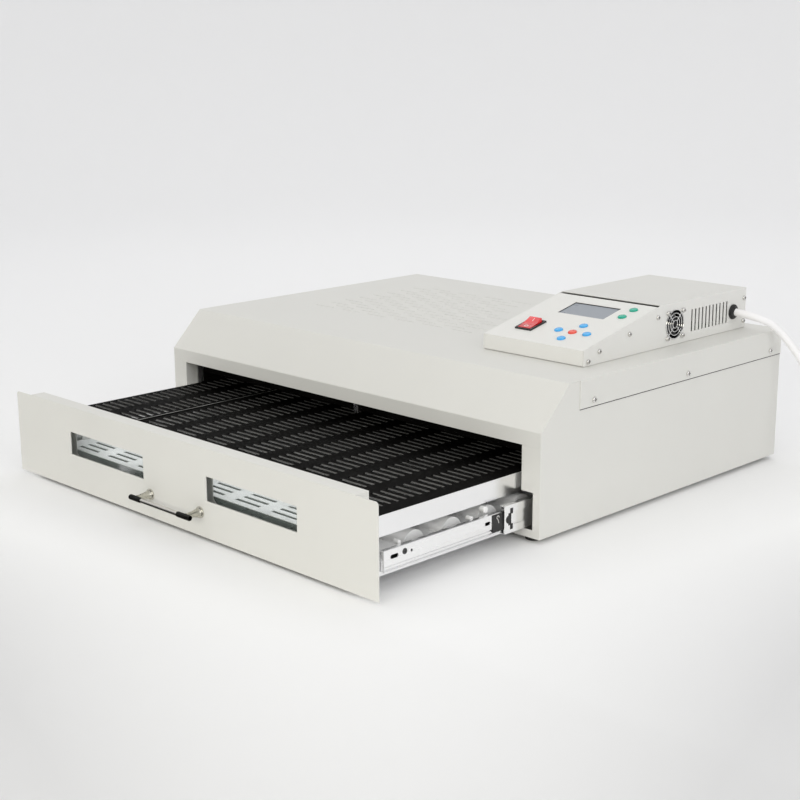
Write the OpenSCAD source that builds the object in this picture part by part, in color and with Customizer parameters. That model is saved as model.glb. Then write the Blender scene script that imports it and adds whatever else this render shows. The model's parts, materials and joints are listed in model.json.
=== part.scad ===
// Drawer-type infrared reflow oven with a control box on its top.
// Inside each module, x runs from the middle to the right, y from the body's front face to the rear
// and z from the underside of the base; place() then moves the piece into the part's own frame.

/* [Body] */
// Width over the side flanges of the top cover
body_w = 680; // [670:1:690]
// Depth of the sheet-metal body
body_d = 494; // [490:1:510]
// Height of the body without its feet
body_h = 173; // [172:1:180]
// Thickness of the body's sheet metal
sheet = 1; // [0.8:0.1:1.2]
// Outer radius of the hood's folds
fold_r = 2.5; // [1.5:0.5:5]
// How far back the sloped front edge runs along the top
slope_y = 48; // [30:1:60]
// Height at which the front slope starts
slope_z = 124; // [115:1:130]
// Height of the hood's lower edge, above the drawer
hood_z = 106.5; // [105:0.5:110]
// Height of the rubber feet
foot_h = 6; // [4:1:12]
// Free width of the drawer mouth above the slides
mouth_w = 622.8; // [618:0.2:624]
// Free width of the mouth at the height of the slides
notch_w = 656.8; // [656:0.2:660]

/* [Top vents] */
// Number of vent rows on the top
vent_rows = 16; // [8:1:16]
// Distance between vent rows
vent_pitch_y = 14.4; // [12:0.1:15]
// Distance between vents in a row
vent_pitch_x = 54; // [50:1:60]
// Length of one vent
vent_len = 38; // [30:1:42]
// Width of one vent
vent_wide = 1.4; // [1.2:0.1:3]

/* [Drawer] */
// How far the drawer's face stands in front of the body
open_y = 252; // [200:1:260]
// Width of the drawer's face
face_w = 681; // [675:1:684]
// Height of the drawer's face above the underside of the base
face_top = 103.3; // [100:0.1:104]
// How far the drawer's face hangs below the underside of the base
face_drop = 2.3; // [0:0.1:3]
// Thickness of the drawer's face
face_t = 1.2; // [1:0.1:1.5]
// Width of each window
window_w = 156; // [120:1:170]
// Distance between the window centres
window_pitch = 277.8; // [270:0.2:300]
// Lower edge of the windows
window_z0 = 42; // [36:1:46]
// Upper edge of the windows
window_z1 = 71.3; // [66:0.1:76]
// Distance between the handle's posts
handle_pitch = 96; // [64:32:128]
// Length of the handle's bar
handle_len = 116; // [110:1:150]
// Diameter of the handle's bar
handle_dia = 6; // [4:0.1:8]
// Height of the handle's bar
handle_z = 26; // [20:1:30]
// Distance from the drawer's face to the middle of the bar
handle_reach = 21.7; // [20:0.1:24]
// Depth of the drawer behind its front box
tray_d = 405; // [390:1:405]
// Height of the tray's upper face
tray_z = 74.6; // [70:0.1:76]
// Number of slot columns in the tray
tray_columns = 10; // [8:1:10]
// Distance between slot columns
tray_pitch_x = 61; // [58:1:61]
// Number of slot rows in the tray
tray_rows = 33; // [20:1:33]
// Distance between slot rows
tray_pitch_y = 11.7; // [11:0.1:12]

/* [Slides] */
// Height of the middle of the slides
slide_z = 29; // [28:0.1:30]
// Length of the slide members fixed to the body
slide_outer_len = 375; // [360:1:400]
// Length of the middle and drawer members
slide_inner_len = 376; // [350:1:380]
// How far the middle members stand out of the body
middle_y = 40.4; // [30:0.1:60]

/* [Control box] */
// Left side of the control box
box_x0 = 141.5; // [120:0.5:150]
// Right side of the control box
box_x1 = 299; // [290:0.5:310]
// Front of the control box
box_y0 = 123.7; // [115:0.1:130]
// Rear of the control box
box_y1 = 468; // [460:1:480]
// Height of the control box's front face
box_front_h = 19.5; // [16:0.5:24]
// Full height of the control box
box_h = 53.7; // [50:0.1:60]
// Where the sloped panel ends and the top cover starts
box_ridge_y = 275.8; // [270:0.1:285]
// Diameter of the push buttons
button_dia = 10.8; // [9:0.1:12]
// How far a push button travels
button_travel = 1; // [0.5:0.1:1.2]
// How far the rocker tilts each way
rocker_tilt = 10; // [6:1:12]

/* [Cord] */
// Diameter of the mains cord
cord_dia = 10; // [8:0.5:10]

/* [Hidden] */
$fn = 48;
eps = 0.05;

// Colours
shell = [0.86, 0.85, 0.80];
zinc = [0.78, 0.79, 0.80];
polished = [0.88, 0.88, 0.90];
blackened = [0.06, 0.06, 0.06];
black_plastic = [0.05, 0.05, 0.05];
rubber = [0.08, 0.08, 0.08];
nickel = [0.72, 0.71, 0.68];
button_blue = [0.25, 0.66, 0.90];
button_red = [0.92, 0.25, 0.20];
button_green = [0.18, 0.68, 0.58];

// Body
side_x = body_w / 2 - sheet;
slope_a = atan2(body_h - slope_z, slope_y);
guard_proud = 2;
screw_proud = 2.4;
grip_r = handle_dia / 2 + 0.3;
mid_y = (body_d + screw_proud - open_y - handle_reach - grip_r) / 2;
flange_y0 = 67;
flange_z0 = 139.6;
foot_r = 10;
foot_x = 318;
foot_ys = [15, body_d - 24];
post_tab_h = 8.6;
post_tab_x = 312;
post_depth = 20;
notch_z0 = 9.4;
notch_z1 = 53.4;
side_screw_ys = [92.3, 278.8, 467.3];
side_screw_z = 147;
rear_screw_xs = [-326, -110, 110, 326];
rear_screw_z = 160;

// Top vents: every second row is shifted by half a pitch, and the field's right edge slants
vent_x0 = -245;
vent_y0 = 188;
vent_edge_x = 92;
vent_edge_slope = 0.5;

// Heating chamber
liner_x = 312;
liner_y0 = 31;
liner_y1 = 440;
liner_z0 = 54;
liner_z1 = 150;
liner_lip_z = 88;
tube_r = 5.5;
tube_z = 112;
tube_y0 = 72;
tube_pitch = 65;
tube_count = 6;
tube_len = 584;
duct_r = 36;
fan_z = 92;
exhaust_size = 80;
exhaust_t = 24;
exhaust_pitch = 71.5;
exhaust_bore_r = 38;

// Drawer: back_y is the rear face of the front box, tray_y1 the rear of the drawer
face_y = -open_y;
back_y = face_y + 20;
frame_x = 307;
tray_y1 = back_y + tray_d;
tub_x = 312.6;
tub_z = 11;
tub_wall_z = 38.4;
tray_t = 1;
seam_x = -190;
glass_t = 4;
reveal_x0 = 48;
reveal_x1 = 234;
reveal_z0 = 33;
reveal_z1 = 80;
reveal_r = 8;
plate_z = 40;
plate_x = 266;
plate_columns = 8;
plate_pitch_x = 64;
plate_rows = 32;
plate_pitch_y = 12;
ridge_r = 16;
ridge_y0 = -165;
ridge_pitch = 58;
ridge_count = 6;
ridge_z = 30;

// Slides: sections are given for the right-hand side
slide_in_x = 314;
inner_face_x = 319.4;
middle_face_x = 322.2;
outer_in_x = 323;
slide_t = 1.2;
inner_top = 10.5;
inner_bottom = 12.9;
middle_half_h = 16.4;
outer_half_h = 19.3;
inner_y0 = face_y + 28;
middle_y0 = -middle_y;
outer_y0 = 28;

// Control box: points on the sloped panel are given as [x, distance up the slope]
box_z = body_h;
panel_a = atan2(box_h - box_front_h, box_ridge_y - box_y0);
panel_len = (box_ridge_y - box_y0) / cos(panel_a);
box_gap = 0.3;
switch_at = [181.8, 43.6];
switch_w = 25.6;
switch_l = 31;
rocker_w = 19.6;
rocker_l = 25.6;
pad_at = [247.9, 43.4];
pad_blue = [[-21.5, 0], [0.5, 21.3], [-0.5, -21.3], [21.3, 0.5]];
start_at = [275.4, 130.7];
stop_at = [275.4, 106.8];
lcd_x0 = 185.6;
lcd_x1 = 257.2;
lcd_s0 = 92.2;
lcd_s1 = 130;
fan40_y = 306;
fan40_z = 199.5;
fan40_size = 40;
fan40_pitch = 32;
fan40_t = 10;
fan40_bore_r = 18.6;
vent11_y0 = 343.7;
vent11_pitch = 7.92;
gland_y = 437;
gland_z = 198;
gland_r = 9.8;
box_screws = [[132, 179], [152.8, 188], [211.5, 200.3], [269.6, 212.8], [462.7, 213.3], [463.1, 182.7]];

// Cord: hand-laid centre line from the gland down to the floor, then the coil and the plug's tail
cord_r = cord_dia / 2;
cord_sides = 10;
floor_z = -foot_h;
cord_route = [[304, 437, 198], [316, 437.6, 196.7], [327.4, 440.2, 194.8], [337.4, 445.2, 191.8],
    [345.8, 452, 187], [353, 459, 179.4], [361, 465.2, 169], [370.4, 470.2, 156], [381, 473.8, 141.5],
    [390.5, 475.6, 125.5], [398.7, 475.6, 108.5], [405.8, 474, 91.5], [412, 471, 75], [418, 467.5, 59.5],
    [424.8, 464, 44.8], [433.2, 461.4, 31.5], [443.8, 460.8, 19.8], [455.6, 463.4, 10], [468.5, 469.2, 3],
    [482, 477.5, -0.4], [496, 486.5, -1], [510, 496, -1]];
coil_at = [472, 549];
coil_turn_r = 60;
coil_layers = 2;
tail_route = [[483, 613, 9], [469, 615, 8], [456, 617, 5], [442, 619, 2], [428, 620, 1], [414, 620, 2],
    [400, 620, 4]];

// ---- helpers ----

module place() {
    translate([0, -mid_y, foot_h]) children();
}

// Extrudes a [y, z] outline from x0 to x1
module along_x(x0, x1) {
    translate([x0, 0, 0]) rotate([90, 0, 90]) linear_extrude(x1 - x0) children();
}

// Extrudes an [x, z] outline from y0 to y1
module along_y(y0, y1) {
    translate([0, y1, 0]) rotate([90, 0, 0]) linear_extrude(y1 - y0) children();
}

module box(x0, x1, y0, y1, z0, z1) {
    translate([x0, y0, z0]) cube([x1 - x0, y1 - y0, z1 - z0]);
}

// The right-hand piece as drawn, or its mirror image on the left
module side(s) {
    if (s > 0) children();
    else mirror([1, 0, 0]) children();
}

// The piece as drawn, and its mirror image
module both_sides() {
    side(1) children();
    side(-1) children();
}

module rod_x(x0, x1, y, z, r) {
    translate([x0, y, z]) rotate([0, 90, 0]) cylinder(h = x1 - x0, r = r);
}

module rod_y(y0, y1, x, z, r) {
    translate([x, y1, z]) rotate([90, 0, 0]) cylinder(h = y1 - y0, r = r);
}

// A rectangle with rounded corners, as an [x, y] outline
module rounded(x0, x1, y0, y1, r) {
    translate([x0 + r, y0]) square([x1 - x0 - 2 * r, y1 - y0]);
    translate([x0, y0 + r]) square([x1 - x0, y1 - y0 - 2 * r]);
    for (x = [x0 + r, x1 - r]) for (y = [y0 + r, y1 - r]) translate([x, y]) circle(r);
}

// A pan-head screw that points along -z, with its head on z = 0
module pan_screw(head_r = 3.6, shank_r = 1.5, shank = 7) {
    difference() {
        rotate_extrude() polygon([[0, 0], [head_r, 0], [head_r, 0.9], [head_r * 0.86, 1.7],
            [head_r * 0.55, screw_proud - 0.2], [0, screw_proud]]);
        for (a = [0, 90]) rotate(a) translate([-head_r * 0.55, -0.4, 1.1]) cube([head_r * 1.1, 0.8, 2]);
    }
    translate([0, 0, -shank]) cylinder(h = shank + eps, r = shank_r);
}

// Puts children on the control box's sloped panel: x, distance up the slope, height above it
module on_slope() {
    translate([0, box_y0, box_z + box_front_h]) rotate([panel_a, 0, 0]) children();
}

// A cord's solid: one ring of cord_sides points at each point of the route
function direction(route, i) = let (a = route[max(i - 1, 0)], b = route[min(i + 1, len(route) - 1)])
    (b - a) / norm(b - a);
function ring(route, i, r) = let (d = direction(route, i), u = cross(d, [0, 0, 1]) / norm(cross(d, [0, 0, 1])),
    v = cross(d, u)) [for (k = [0 : cord_sides - 1]) let (t = 360 * k / cord_sides)
    route[i] + r * (cos(t) * u + sin(t) * v)];

module swept(route, r) {
    n = len(route);
    points = [for (i = [0 : n - 1]) each ring(route, i, r)];
    walls = [for (i = [0 : n - 2]) for (k = [0 : cord_sides - 1]) let (m = (k + 1) % cord_sides)
        [i * cord_sides + k, i * cord_sides + m, (i + 1) * cord_sides + m, (i + 1) * cord_sides + k]];
    first_cap = [for (k = [cord_sides - 1 : -1 : 0]) k];
    last_cap = [for (k = [0 : cord_sides - 1]) (n - 1) * cord_sides + k];
    polyhedron(points, concat(walls, [first_cap, last_cap]), convexity = 6);
}

// ---- body ----

// An arc of radius r in place of the corner b between a and c
function fold(a, b, c, r) = let (u = (a - b) / norm(a - b), v = (c - b) / norm(c - b), half = acos(u * v) / 2,
    centre = b + (u + v) / norm(u + v) * r / sin(half), from = b + u * r / tan(half) - centre,
    to = b + v * r / tan(half) - centre) [for (k = [0 : 0.25 : 1])
    let (d = from + (to - from) * k) centre + r * d / norm(d)];

// The hood and top, as the outline of a sheet set in by t from the outer face
function hood_line(t) = let (face = [t, slope_z - t * cos(slope_a) / (1 + sin(slope_a))],
    top = [slope_y + t * sin(slope_a) / (1 + cos(slope_a)), body_h - t])
    concat([[t, hood_z]], fold([t, hood_z], face, top, fold_r - t),
    fold(face, top, [body_d, body_h - t], fold_r - t), [[body_d, body_h - t]]);
function backwards(list) = [for (i = [len(list) - 1 : -1 : 0]) list[i]];

module base_pan() {
    color(shell) place() {
        box(-side_x + sheet, side_x - sheet, sheet, body_d - sheet, 0, sheet);
        box(-post_tab_x, post_tab_x, 0, sheet, 0, 6.5);
    }
}

module side_panel() {
    color(shell) place() {
        top_line = hood_line(sheet);
        along_x(side_x - sheet, side_x) polygon(concat([[0, 0], [body_d - sheet, 0],
            [body_d - sheet, body_h - sheet]], [for (i = [len(top_line) - 2 : -1 : 0]) top_line[i]], [[0, hood_z]]));
        along_y(0, sheet) polygon([[post_tab_x, 0], [side_x, 0], [side_x, hood_z], [mouth_w / 2, hood_z],
            [mouth_w / 2, notch_z1], [notch_w / 2, notch_z1], [notch_w / 2, notch_z0],
            [post_tab_x + 2, notch_z0], [post_tab_x + 2, post_tab_h], [post_tab_x, post_tab_h]]);
        box(mouth_w / 2, mouth_w / 2 + sheet, 0, post_depth, notch_z1, hood_z);
    }
}

module side_panel_left() {
    mirror([1, 0, 0]) side_panel();
}

module side_panel_right() {
    side_panel();
}

// Right-hand end of vent row j
function vent_x1(j) = vent_edge_x - vent_edge_slope * j * vent_pitch_y;

module top_vents() {
    for (j = [0 : vent_rows - 1]) {
        x0 = vent_x0 + (j % 2) * vent_pitch_x / 2;
        count = floor((vent_x1(j) - x0 + vent_pitch_x - vent_len) / vent_pitch_x);
        for (i = [0 : count - 1])
            translate([x0 + i * vent_pitch_x, vent_y0 + j * vent_pitch_y]) square([vent_len, vent_wide]);
    }
}

module top_cover() {
    color(shell) place() difference() {
        union() {
            along_x(-side_x, side_x) polygon(concat(hood_line(0), backwards(hood_line(sheet))));
            both_sides() box(side_x, side_x + sheet, flange_y0, body_d, flange_z0, body_h);
        }
        translate([0, 0, body_h - 2 * sheet]) linear_extrude(3 * sheet) top_vents();
    }
}

module rear_vents() {
    for (s = [-1, 1]) for (i = [0 : 8]) translate([s * (150 + i * 12) - 1.5, 50]) square([3, 60]);
}

module fan_screw_holes(pitch, r) {
    for (x = [-1, 1]) for (z = [-1, 1]) translate([x * pitch / 2, z * pitch / 2]) circle(r);
}

module rear_panel() {
    color(shell) place() along_y(body_d - sheet, body_d) difference() {
        translate([-side_x, 0]) square([2 * side_x, body_h - sheet]);
        translate([0, fan_z]) circle(exhaust_bore_r);
        rear_vents();
    }
}

module feet() {
    color(rubber) place() both_sides() for (y = foot_ys)
        translate([foot_x, y, -foot_h]) cylinder(h = foot_h, r1 = foot_r - 1, r2 = foot_r);
}

module body_screws() {
    color(nickel) place() {
        both_sides() for (y = side_screw_ys)
            translate([side_x + sheet, y, side_screw_z]) rotate([0, 90, 0]) pan_screw();
        for (x = rear_screw_xs) translate([x, body_d, rear_screw_z]) rotate([-90, 0, 0]) pan_screw();
    }
}

// ---- heating chamber ----

module chamber_liner() {
    color(blackened) place() {
        both_sides() box(liner_x, liner_x + sheet, liner_y0, liner_y1, liner_z0, liner_z1);
        box(-liner_x, liner_x, liner_y0, liner_y1, liner_z1 - sheet, liner_z1);
        box(-liner_x, liner_x, liner_y0, liner_y0 + sheet, liner_lip_z, liner_z1);
        along_y(liner_y1 - sheet, liner_y1) difference() {
            translate([-liner_x, sheet]) square([2 * liner_x, liner_z1 - sheet]);
            translate([0, fan_z]) circle(duct_r);
        }
        translate([0, liner_y1, fan_z]) rotate([-90, 0, 0]) difference() {
            cylinder(h = body_d - sheet - exhaust_t - liner_y1, r = duct_r + sheet);
            translate([0, 0, -eps]) cylinder(h = body_d - liner_y1, r = duct_r);
        }
    }
}

// The reflector's height at depth y: one trough over each tube
function reflector_z(y) = 130 - 5 * cos(360 * (y - tube_y0) / tube_pitch - 180);

module upper_reflector() {
    ys = [for (y = [liner_y0 + 2 : 5 : liner_y1 - 4]) y];
    color(polished) place() along_x(1 - liner_x, liner_x - 1)
        polygon(concat([for (y = ys) [y, reflector_z(y)]], [for (y = backwards(ys)) [y, reflector_z(y) + 0.8]]));
}

module heater_tubes() {
    color([0.92, 0.90, 0.86]) place() for (i = [0 : tube_count - 1])
        rod_x(-tube_len / 2, tube_len / 2, tube_y0 + i * tube_pitch, tube_z, tube_r);
}

module tube_caps() {
    color([0.93, 0.92, 0.88]) place() both_sides() for (i = [0 : tube_count - 1])
        rod_x(tube_len / 2, liner_x, tube_y0 + i * tube_pitch, tube_z, tube_r + 2.5);
}

module insulation_blanket() {
    color([0.85, 0.84, 0.78]) place()
        box(-liner_x + 2, liner_x - 2, liner_y0 + 20, liner_y1, liner_z1, liner_z1 + 16);
}

module thermocouple() {
    color(zinc) place() {
        box(3, 11, liner_y0 - 0.8, liner_y0, liner_lip_z - 4, liner_lip_z + 16);
        rod_y(liner_y0, liner_y0 + 30, 7, liner_lip_z - 2, 1.5);
    }
}

// ---- exhaust fan on the rear panel ----

module exhaust_fan_frame() {
    y1 = body_d - sheet;
    y0 = y1 - exhaust_t;
    color(black_plastic) place() {
        difference() {
            along_y(y0, y1) difference() {
                translate([-exhaust_size / 2, fan_z - exhaust_size / 2]) square(exhaust_size);
                translate([0, fan_z]) circle(exhaust_bore_r);
                translate([0, fan_z]) fan_screw_holes(exhaust_pitch, 2.15);
            }
        }
        for (a = [45 : 90 : 315]) translate([0, 0, fan_z]) rotate([0, a, 0])
            box(15, exhaust_bore_r + 1, y0, y0 + 3, -1.5, 1.5);
        rod_y(y0, y0 + 3, 0, fan_z, 17);
        rod_y(y0, y1 - 6, 0, fan_z, 2);
    }
}

module blade(root_r, tip_r, depth, twist) {
    rotate([twist, 0, 0]) translate([root_r, -depth / 2, -0.6]) cube([tip_r - root_r, depth, 1.2]);
}

// A fan rotor about the y axis, with its bore round the frame's pin
module rotor(hub_r, tip_r, y0, y1, pin_r, blades) {
    difference() {
        union() {
            rod_y(y0, y1, 0, 0, hub_r);
            for (i = [0 : blades - 1]) translate([0, (y0 + y1) / 2, 0]) rotate([0, i * 360 / blades, 0])
                blade(hub_r - 1, tip_r, (y1 - y0) * 1.0, 40);
        }
        rod_y(y0 - 1, y1 - 2, 0, 0, pin_r + 0.06);
    }
}

module exhaust_fan_rotor() {
    y1 = body_d - sheet;
    color(black_plastic) place() translate([0, 0, fan_z])
        rotor(16, 36.5, y1 - exhaust_t + 4, y1 - 2, 2, 7);
}

// A finger guard of flat rings and arms on the plane y = 0, standing t out towards +y
module wire_guard(radii, t, screw_pitch) {
    reach = screw_pitch / 2 * sqrt(2);
    along_y(0, t) {
        for (r = radii) flat_ring(r, t);
        for (a = [45 : 90 : 315]) rotate(a) {
            translate([radii[0], -t / 2]) square([reach - 2.6 - radii[0], t]);
            translate([reach, 0]) flat_ring(2.6, t);
        }
    }
}

module flat_ring(r, w) {
    difference() {
        circle(r + w / 2);
        circle(r - w / 2);
    }
}

module exhaust_fan_guard() {
    color(nickel) place() translate([0, body_d, fan_z]) wire_guard([8, 17, 26, 35], guard_proud, exhaust_pitch);
}

// ---- drawer slides ----

module slide_brackets() {
    color(zinc) place() both_sides() for (y = [40, 340])
        along_y(y, y + 30) polygon([[outer_in_x + slide_t, 14], [side_x - sheet, 14],
            [side_x - sheet, 46], [side_x - sheet - 1.5, 46], [side_x - sheet - 1.5, 15.5],
            [outer_in_x + slide_t + 1.5, 15.5], [outer_in_x + slide_t + 1.5, 46], [outer_in_x + slide_t, 46]]);
}

// A C-shaped slide section open towards the drawer: web face at x1, half height h
module channel(x0, x1, h, y0, y1) {
    along_y(y0, y1) translate([0, slide_z]) difference() {
        translate([x0, -h]) square([x1 - x0, 2 * h]);
        translate([x0 - 1, slide_t - h]) square([x1 - slide_t - x0 + 1, 2 * (h - slide_t)]);
    }
}

module slide_outer(s) {
    color(zinc) place() side(s)
        channel(slide_in_x + 2, outer_in_x + slide_t, outer_half_h, outer_y0, outer_y0 + slide_outer_len);
}

module slide_outer_left() {
    slide_outer(-1);
}

module slide_outer_right() {
    slide_outer(1);
}

// Window near the front of a middle member, as seen from its side
module slide_window() {
    for (z = [-12.3, 5.8]) translate([9.6, z]) square([5, 6.5]);
    translate([6.6, -7]) square([5.2, 14]);
    translate([7.2, 0]) circle(4.6);
}

// The middle member, with a window near its front and a shallow recess along its web behind it
module slide_middle(s) {
    color(zinc) place() side(s) difference() {
        channel(slide_in_x + 1, middle_face_x, middle_half_h, middle_y0, middle_y0 + slide_inner_len);
        box(middle_face_x - 0.8, middle_face_x + 1, middle_y0 + 16.4, middle_y0 + slide_inner_len + 1,
            slide_z - 7.4, slide_z + 7.4);
        along_x(middle_face_x - 3, middle_face_x + 1) translate([middle_y0, slide_z]) slide_window();
    }
}

module slide_middle_left() {
    slide_middle(-1);
}

module slide_middle_right() {
    slide_middle(1);
}

// Plastic ball retainers inside the middle members, with a plate behind each window
module slide_retainers() {
    inside = middle_half_h - slide_t - 0.05;
    color(black_plastic) place() both_sides() translate([0, 0, slide_z]) {
        for (s = [0, 1]) mirror([0, 0, s])
            box(slide_in_x + 2.5, slide_in_x + 6.5, middle_y0 + 1, middle_y0 + 120, inside - 2, inside);
        box(middle_face_x - 1.9, middle_face_x - slide_t - 0.05, middle_y0 + 1.5, middle_y0 + 17, -13, 13);
    }
}

// The drawer member: a flat web over two narrow grooves that run along its lower edge
module slide_inner(s) {
    x = inner_face_x;
    t = slide_t;
    top = inner_top;
    low = -inner_bottom;
    color(zinc) place() side(s) difference() {
        along_y(inner_y0, inner_y0 + slide_inner_len) translate([0, slide_z])
            polygon([[slide_in_x - 0.4, top], [x - 0.6, top], [x, top - 0.6], [x, -6.3], [x - 1.4, -6.8],
                [x - 1.4, -7.6], [x - 0.4, -8], [x - 0.4, -9.7], [x - 1.4, -10.1], [x - 1.4, -10.9],
                [x - 0.2, -11.3], [x, -11.6], [x - 0.4, low], [slide_in_x - 0.4, low],
                [slide_in_x - 0.4, low + t], [x - 2.7, low + t], [x - 2.7, -5.6], [x - t, -4.6],
                [x - t, top - t], [slide_in_x - 0.4, top - t]]);
        along_x(x - 3, x + 1) translate([inner_y0, slide_z + 2]) {
            rounded(9.5, 21, -2.2, 2.2, 2.1);
            rounded(154.5, 163, -2, 2, 1.9);
            translate([40.5, 0]) circle(1.5);
        }
    }
}

module slide_inner_left() {
    slide_inner(-1);
}

module slide_inner_right() {
    slide_inner(1);
}

// Disconnect levers on the drawer members
module slide_levers() {
    color(black_plastic) place() both_sides()
        box(inner_face_x, inner_face_x + 0.7, inner_y0 + 166, inner_y0 + 187, slide_z - 10.6, slide_z + 9.8);
}

// ---- drawer ----

module drawer_front() {
    r = 4;
    color(shell) place() along_y(face_y, face_y + face_t) difference() {
        union() {
            translate([-face_w / 2, -face_drop]) square([face_w, face_top + face_drop - r]);
            translate([-face_w / 2 + r, 0]) square([face_w - 2 * r, face_top]);
            for (s = [-1, 1]) translate([s * (face_w / 2 - r), face_top - r]) circle(r);
        }
        for (s = [-1, 1]) translate([s * window_pitch / 2 - window_w / 2, window_z0])
            square([window_w, window_z1 - window_z0]);
        for (s = [-1, 1]) translate([s * handle_pitch / 2, handle_z]) circle(2.1);
    }
}

// Folded box behind the face: it stiffens the face and holds the glass
module drawer_front_frame() {
    z0 = 7.5;
    z1 = face_top + 0.5;
    color(shell) place() {
        along_y(back_y - sheet, back_y) difference() {
            translate([-frame_x, z0]) square([2 * frame_x, z1 - z0]);
            for (s = [0, 1]) mirror([s, 0]) rounded(reveal_x0, reveal_x1, reveal_z0, reveal_z1, reveal_r);
        }
        box(-frame_x, frame_x, face_y + face_t, back_y, z1 - sheet, z1);
        box(-frame_x, frame_x, face_y + face_t, back_y, z0, z0 + sheet);
        both_sides() box(frame_x - sheet, frame_x, face_y + face_t, back_y, z0, z1);
    }
}

module window_glass(s) {
    color([0.75, 0.85, 0.85, 0.4]) place() side(s)
        box(reveal_x0 - 8, reveal_x1 + 8, back_y - sheet - glass_t, back_y - sheet, reveal_z0 - 8, reveal_z1 + 8);
}

module window_glass_left() {
    window_glass(-1);
}

module window_glass_right() {
    window_glass(1);
}

module handle_bar() {
    color(nickel) place()
        rod_x(-handle_len / 2, handle_len / 2, face_y - handle_reach, handle_z, handle_dia / 2);
}

// Turned posts that carry the bar
module handle_posts() {
    color(nickel) place() both_sides() translate([handle_pitch / 2, face_y, handle_z]) rotate([90, 0, 0])
        difference() {
            rotate_extrude() polygon([[0, 0], [7, 0], [7, 2], [5.6, 3.2], [4.4, 8], [3.4, 13],
                [3.2, handle_reach - 2], [0, handle_reach - 2]]);
            translate([-8, 0, handle_reach]) rotate([0, 90, 0]) cylinder(h = 16, r = handle_dia / 2);
        }
}

// Knurled sleeves on both ends of the bar
module handle_grips() {
    color(black_plastic) place() both_sides() difference() {
        rod_x(35, handle_len / 2, face_y - handle_reach, handle_z, grip_r);
        rod_x(34, handle_len / 2 + 1, face_y - handle_reach, handle_z, handle_dia / 2);
        translate([handle_pitch / 2, face_y, handle_z]) rotate([90, 0, 0])
            translate([0, 0, -1]) cylinder(h = handle_reach + 1, r = 3.5);
    }
}

module drawer_tub() {
    color(polished) place() {
        box(-tub_x, tub_x, back_y, tray_y1, tub_z, tub_z + sheet);
        both_sides() box(tub_x, tub_x + sheet, back_y, tray_y1, tub_z, tub_wall_z);
        box(-tub_x, tub_x, tray_y1 - sheet, tray_y1, tub_z + sheet, tub_wall_z);
        box(-frame_x, frame_x, tray_y1 - sheet, tray_y1, tub_wall_z, tray_z - tray_t);
    }
}

module tray_sides() {
    color(polished) place() both_sides() {
        box(frame_x - sheet, frame_x, back_y, tray_y1 - sheet, 50, tray_z - tray_t);
        box(frame_x - 14, frame_x - sheet, back_y, tray_y1 - sheet, 50, 50 + sheet);
    }
}

// Column i of the tray's slots, counted from the right
function tray_column_x(i) = 268 - i * tray_pitch_x;

module slot_grid(columns, rows, pitch_y, y0, len, wide) {
    for (x = columns) for (j = [0 : rows - 1])
        translate([x - len / 2, y0 + j * pitch_y]) square([len, wide]);
}

module solder_tray() {
    columns = [for (i = [0 : tray_columns - 1]) tray_column_x(i)];
    color(blackened) place() {
        translate([0, 0, tray_z - tray_t]) linear_extrude(tray_t) difference() {
            translate([-frame_x, back_y]) square([2 * frame_x, tray_d]);
            translate([seam_x - 0.2, back_y - 1]) square([0.4, tray_d + 2]);
            slot_grid(columns, tray_rows, tray_pitch_y, back_y + 11, 40, 3.4);
        }
        box(seam_x + 0.2, seam_x + 1.2, back_y, tray_y1, tray_z, tray_z + 1.2);
    }
}

module lower_plate() {
    columns = [for (i = [0 : plate_columns - 1]) (i - (plate_columns - 1) / 2) * plate_pitch_x];
    color(zinc) place() translate([0, 0, plate_z]) linear_extrude(sheet) difference() {
        translate([-plate_x, back_y]) square([2 * plate_x, tray_d - sheet]);
        slot_grid(columns, plate_rows, plate_pitch_y, back_y + 9, 43, 5);
    }
}

// Ridged reflector strips beside the lower plate
module side_reflectors() {
    color(polished) place() both_sides() {
        difference() {
            union() {
                box(plate_x, frame_x - 3, back_y, tray_y1 - sheet, ridge_z - sheet, ridge_z);
                for (i = [0 : ridge_count - 1])
                    rod_x(plate_x, frame_x - 3, ridge_y0 + i * ridge_pitch, ridge_z - 1, ridge_r);
            }
            for (i = [0 : ridge_count - 1])
                rod_x(plate_x - 1, frame_x - 4, ridge_y0 + i * ridge_pitch, ridge_z - 1, ridge_r - 1);
            box(plate_x - 1, frame_x, back_y - 1, tray_y1, ridge_z - ridge_r - 2, ridge_z - sheet);
        }
        box(plate_x, plate_x + sheet, back_y, tray_y1 - sheet, tub_z + sheet, ridge_z - sheet);
    }
}

// Thin-headed screws that hold the drawer members to the tub
module drawer_screws() {
    shank = inner_face_x - slide_in_x + 0.4;
    color(nickel) place() both_sides() for (y = [30.4, 340])
        translate([inner_face_x, inner_y0 + y, slide_z + 3.4]) rotate([0, 90, 0]) {
            difference() {
                cylinder(h = 0.7, r = 3.4);
                for (a = [0, 90]) rotate(a) translate([-1.9, -0.4, 0.3]) cube([3.8, 0.8, 1]);
            }
            translate([0, 0, -shank]) cylinder(h = shank, r = 1.5);
        }
}

// ---- control box ----

// Outline of the box's side, a little above the hood
box_line = [[box_y0, box_z + 0.5], [box_y1, box_z + 0.5], [box_y1, box_z + box_h],
    [box_ridge_y, box_z + box_h], [box_y0, box_z + box_front_h]];

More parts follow.
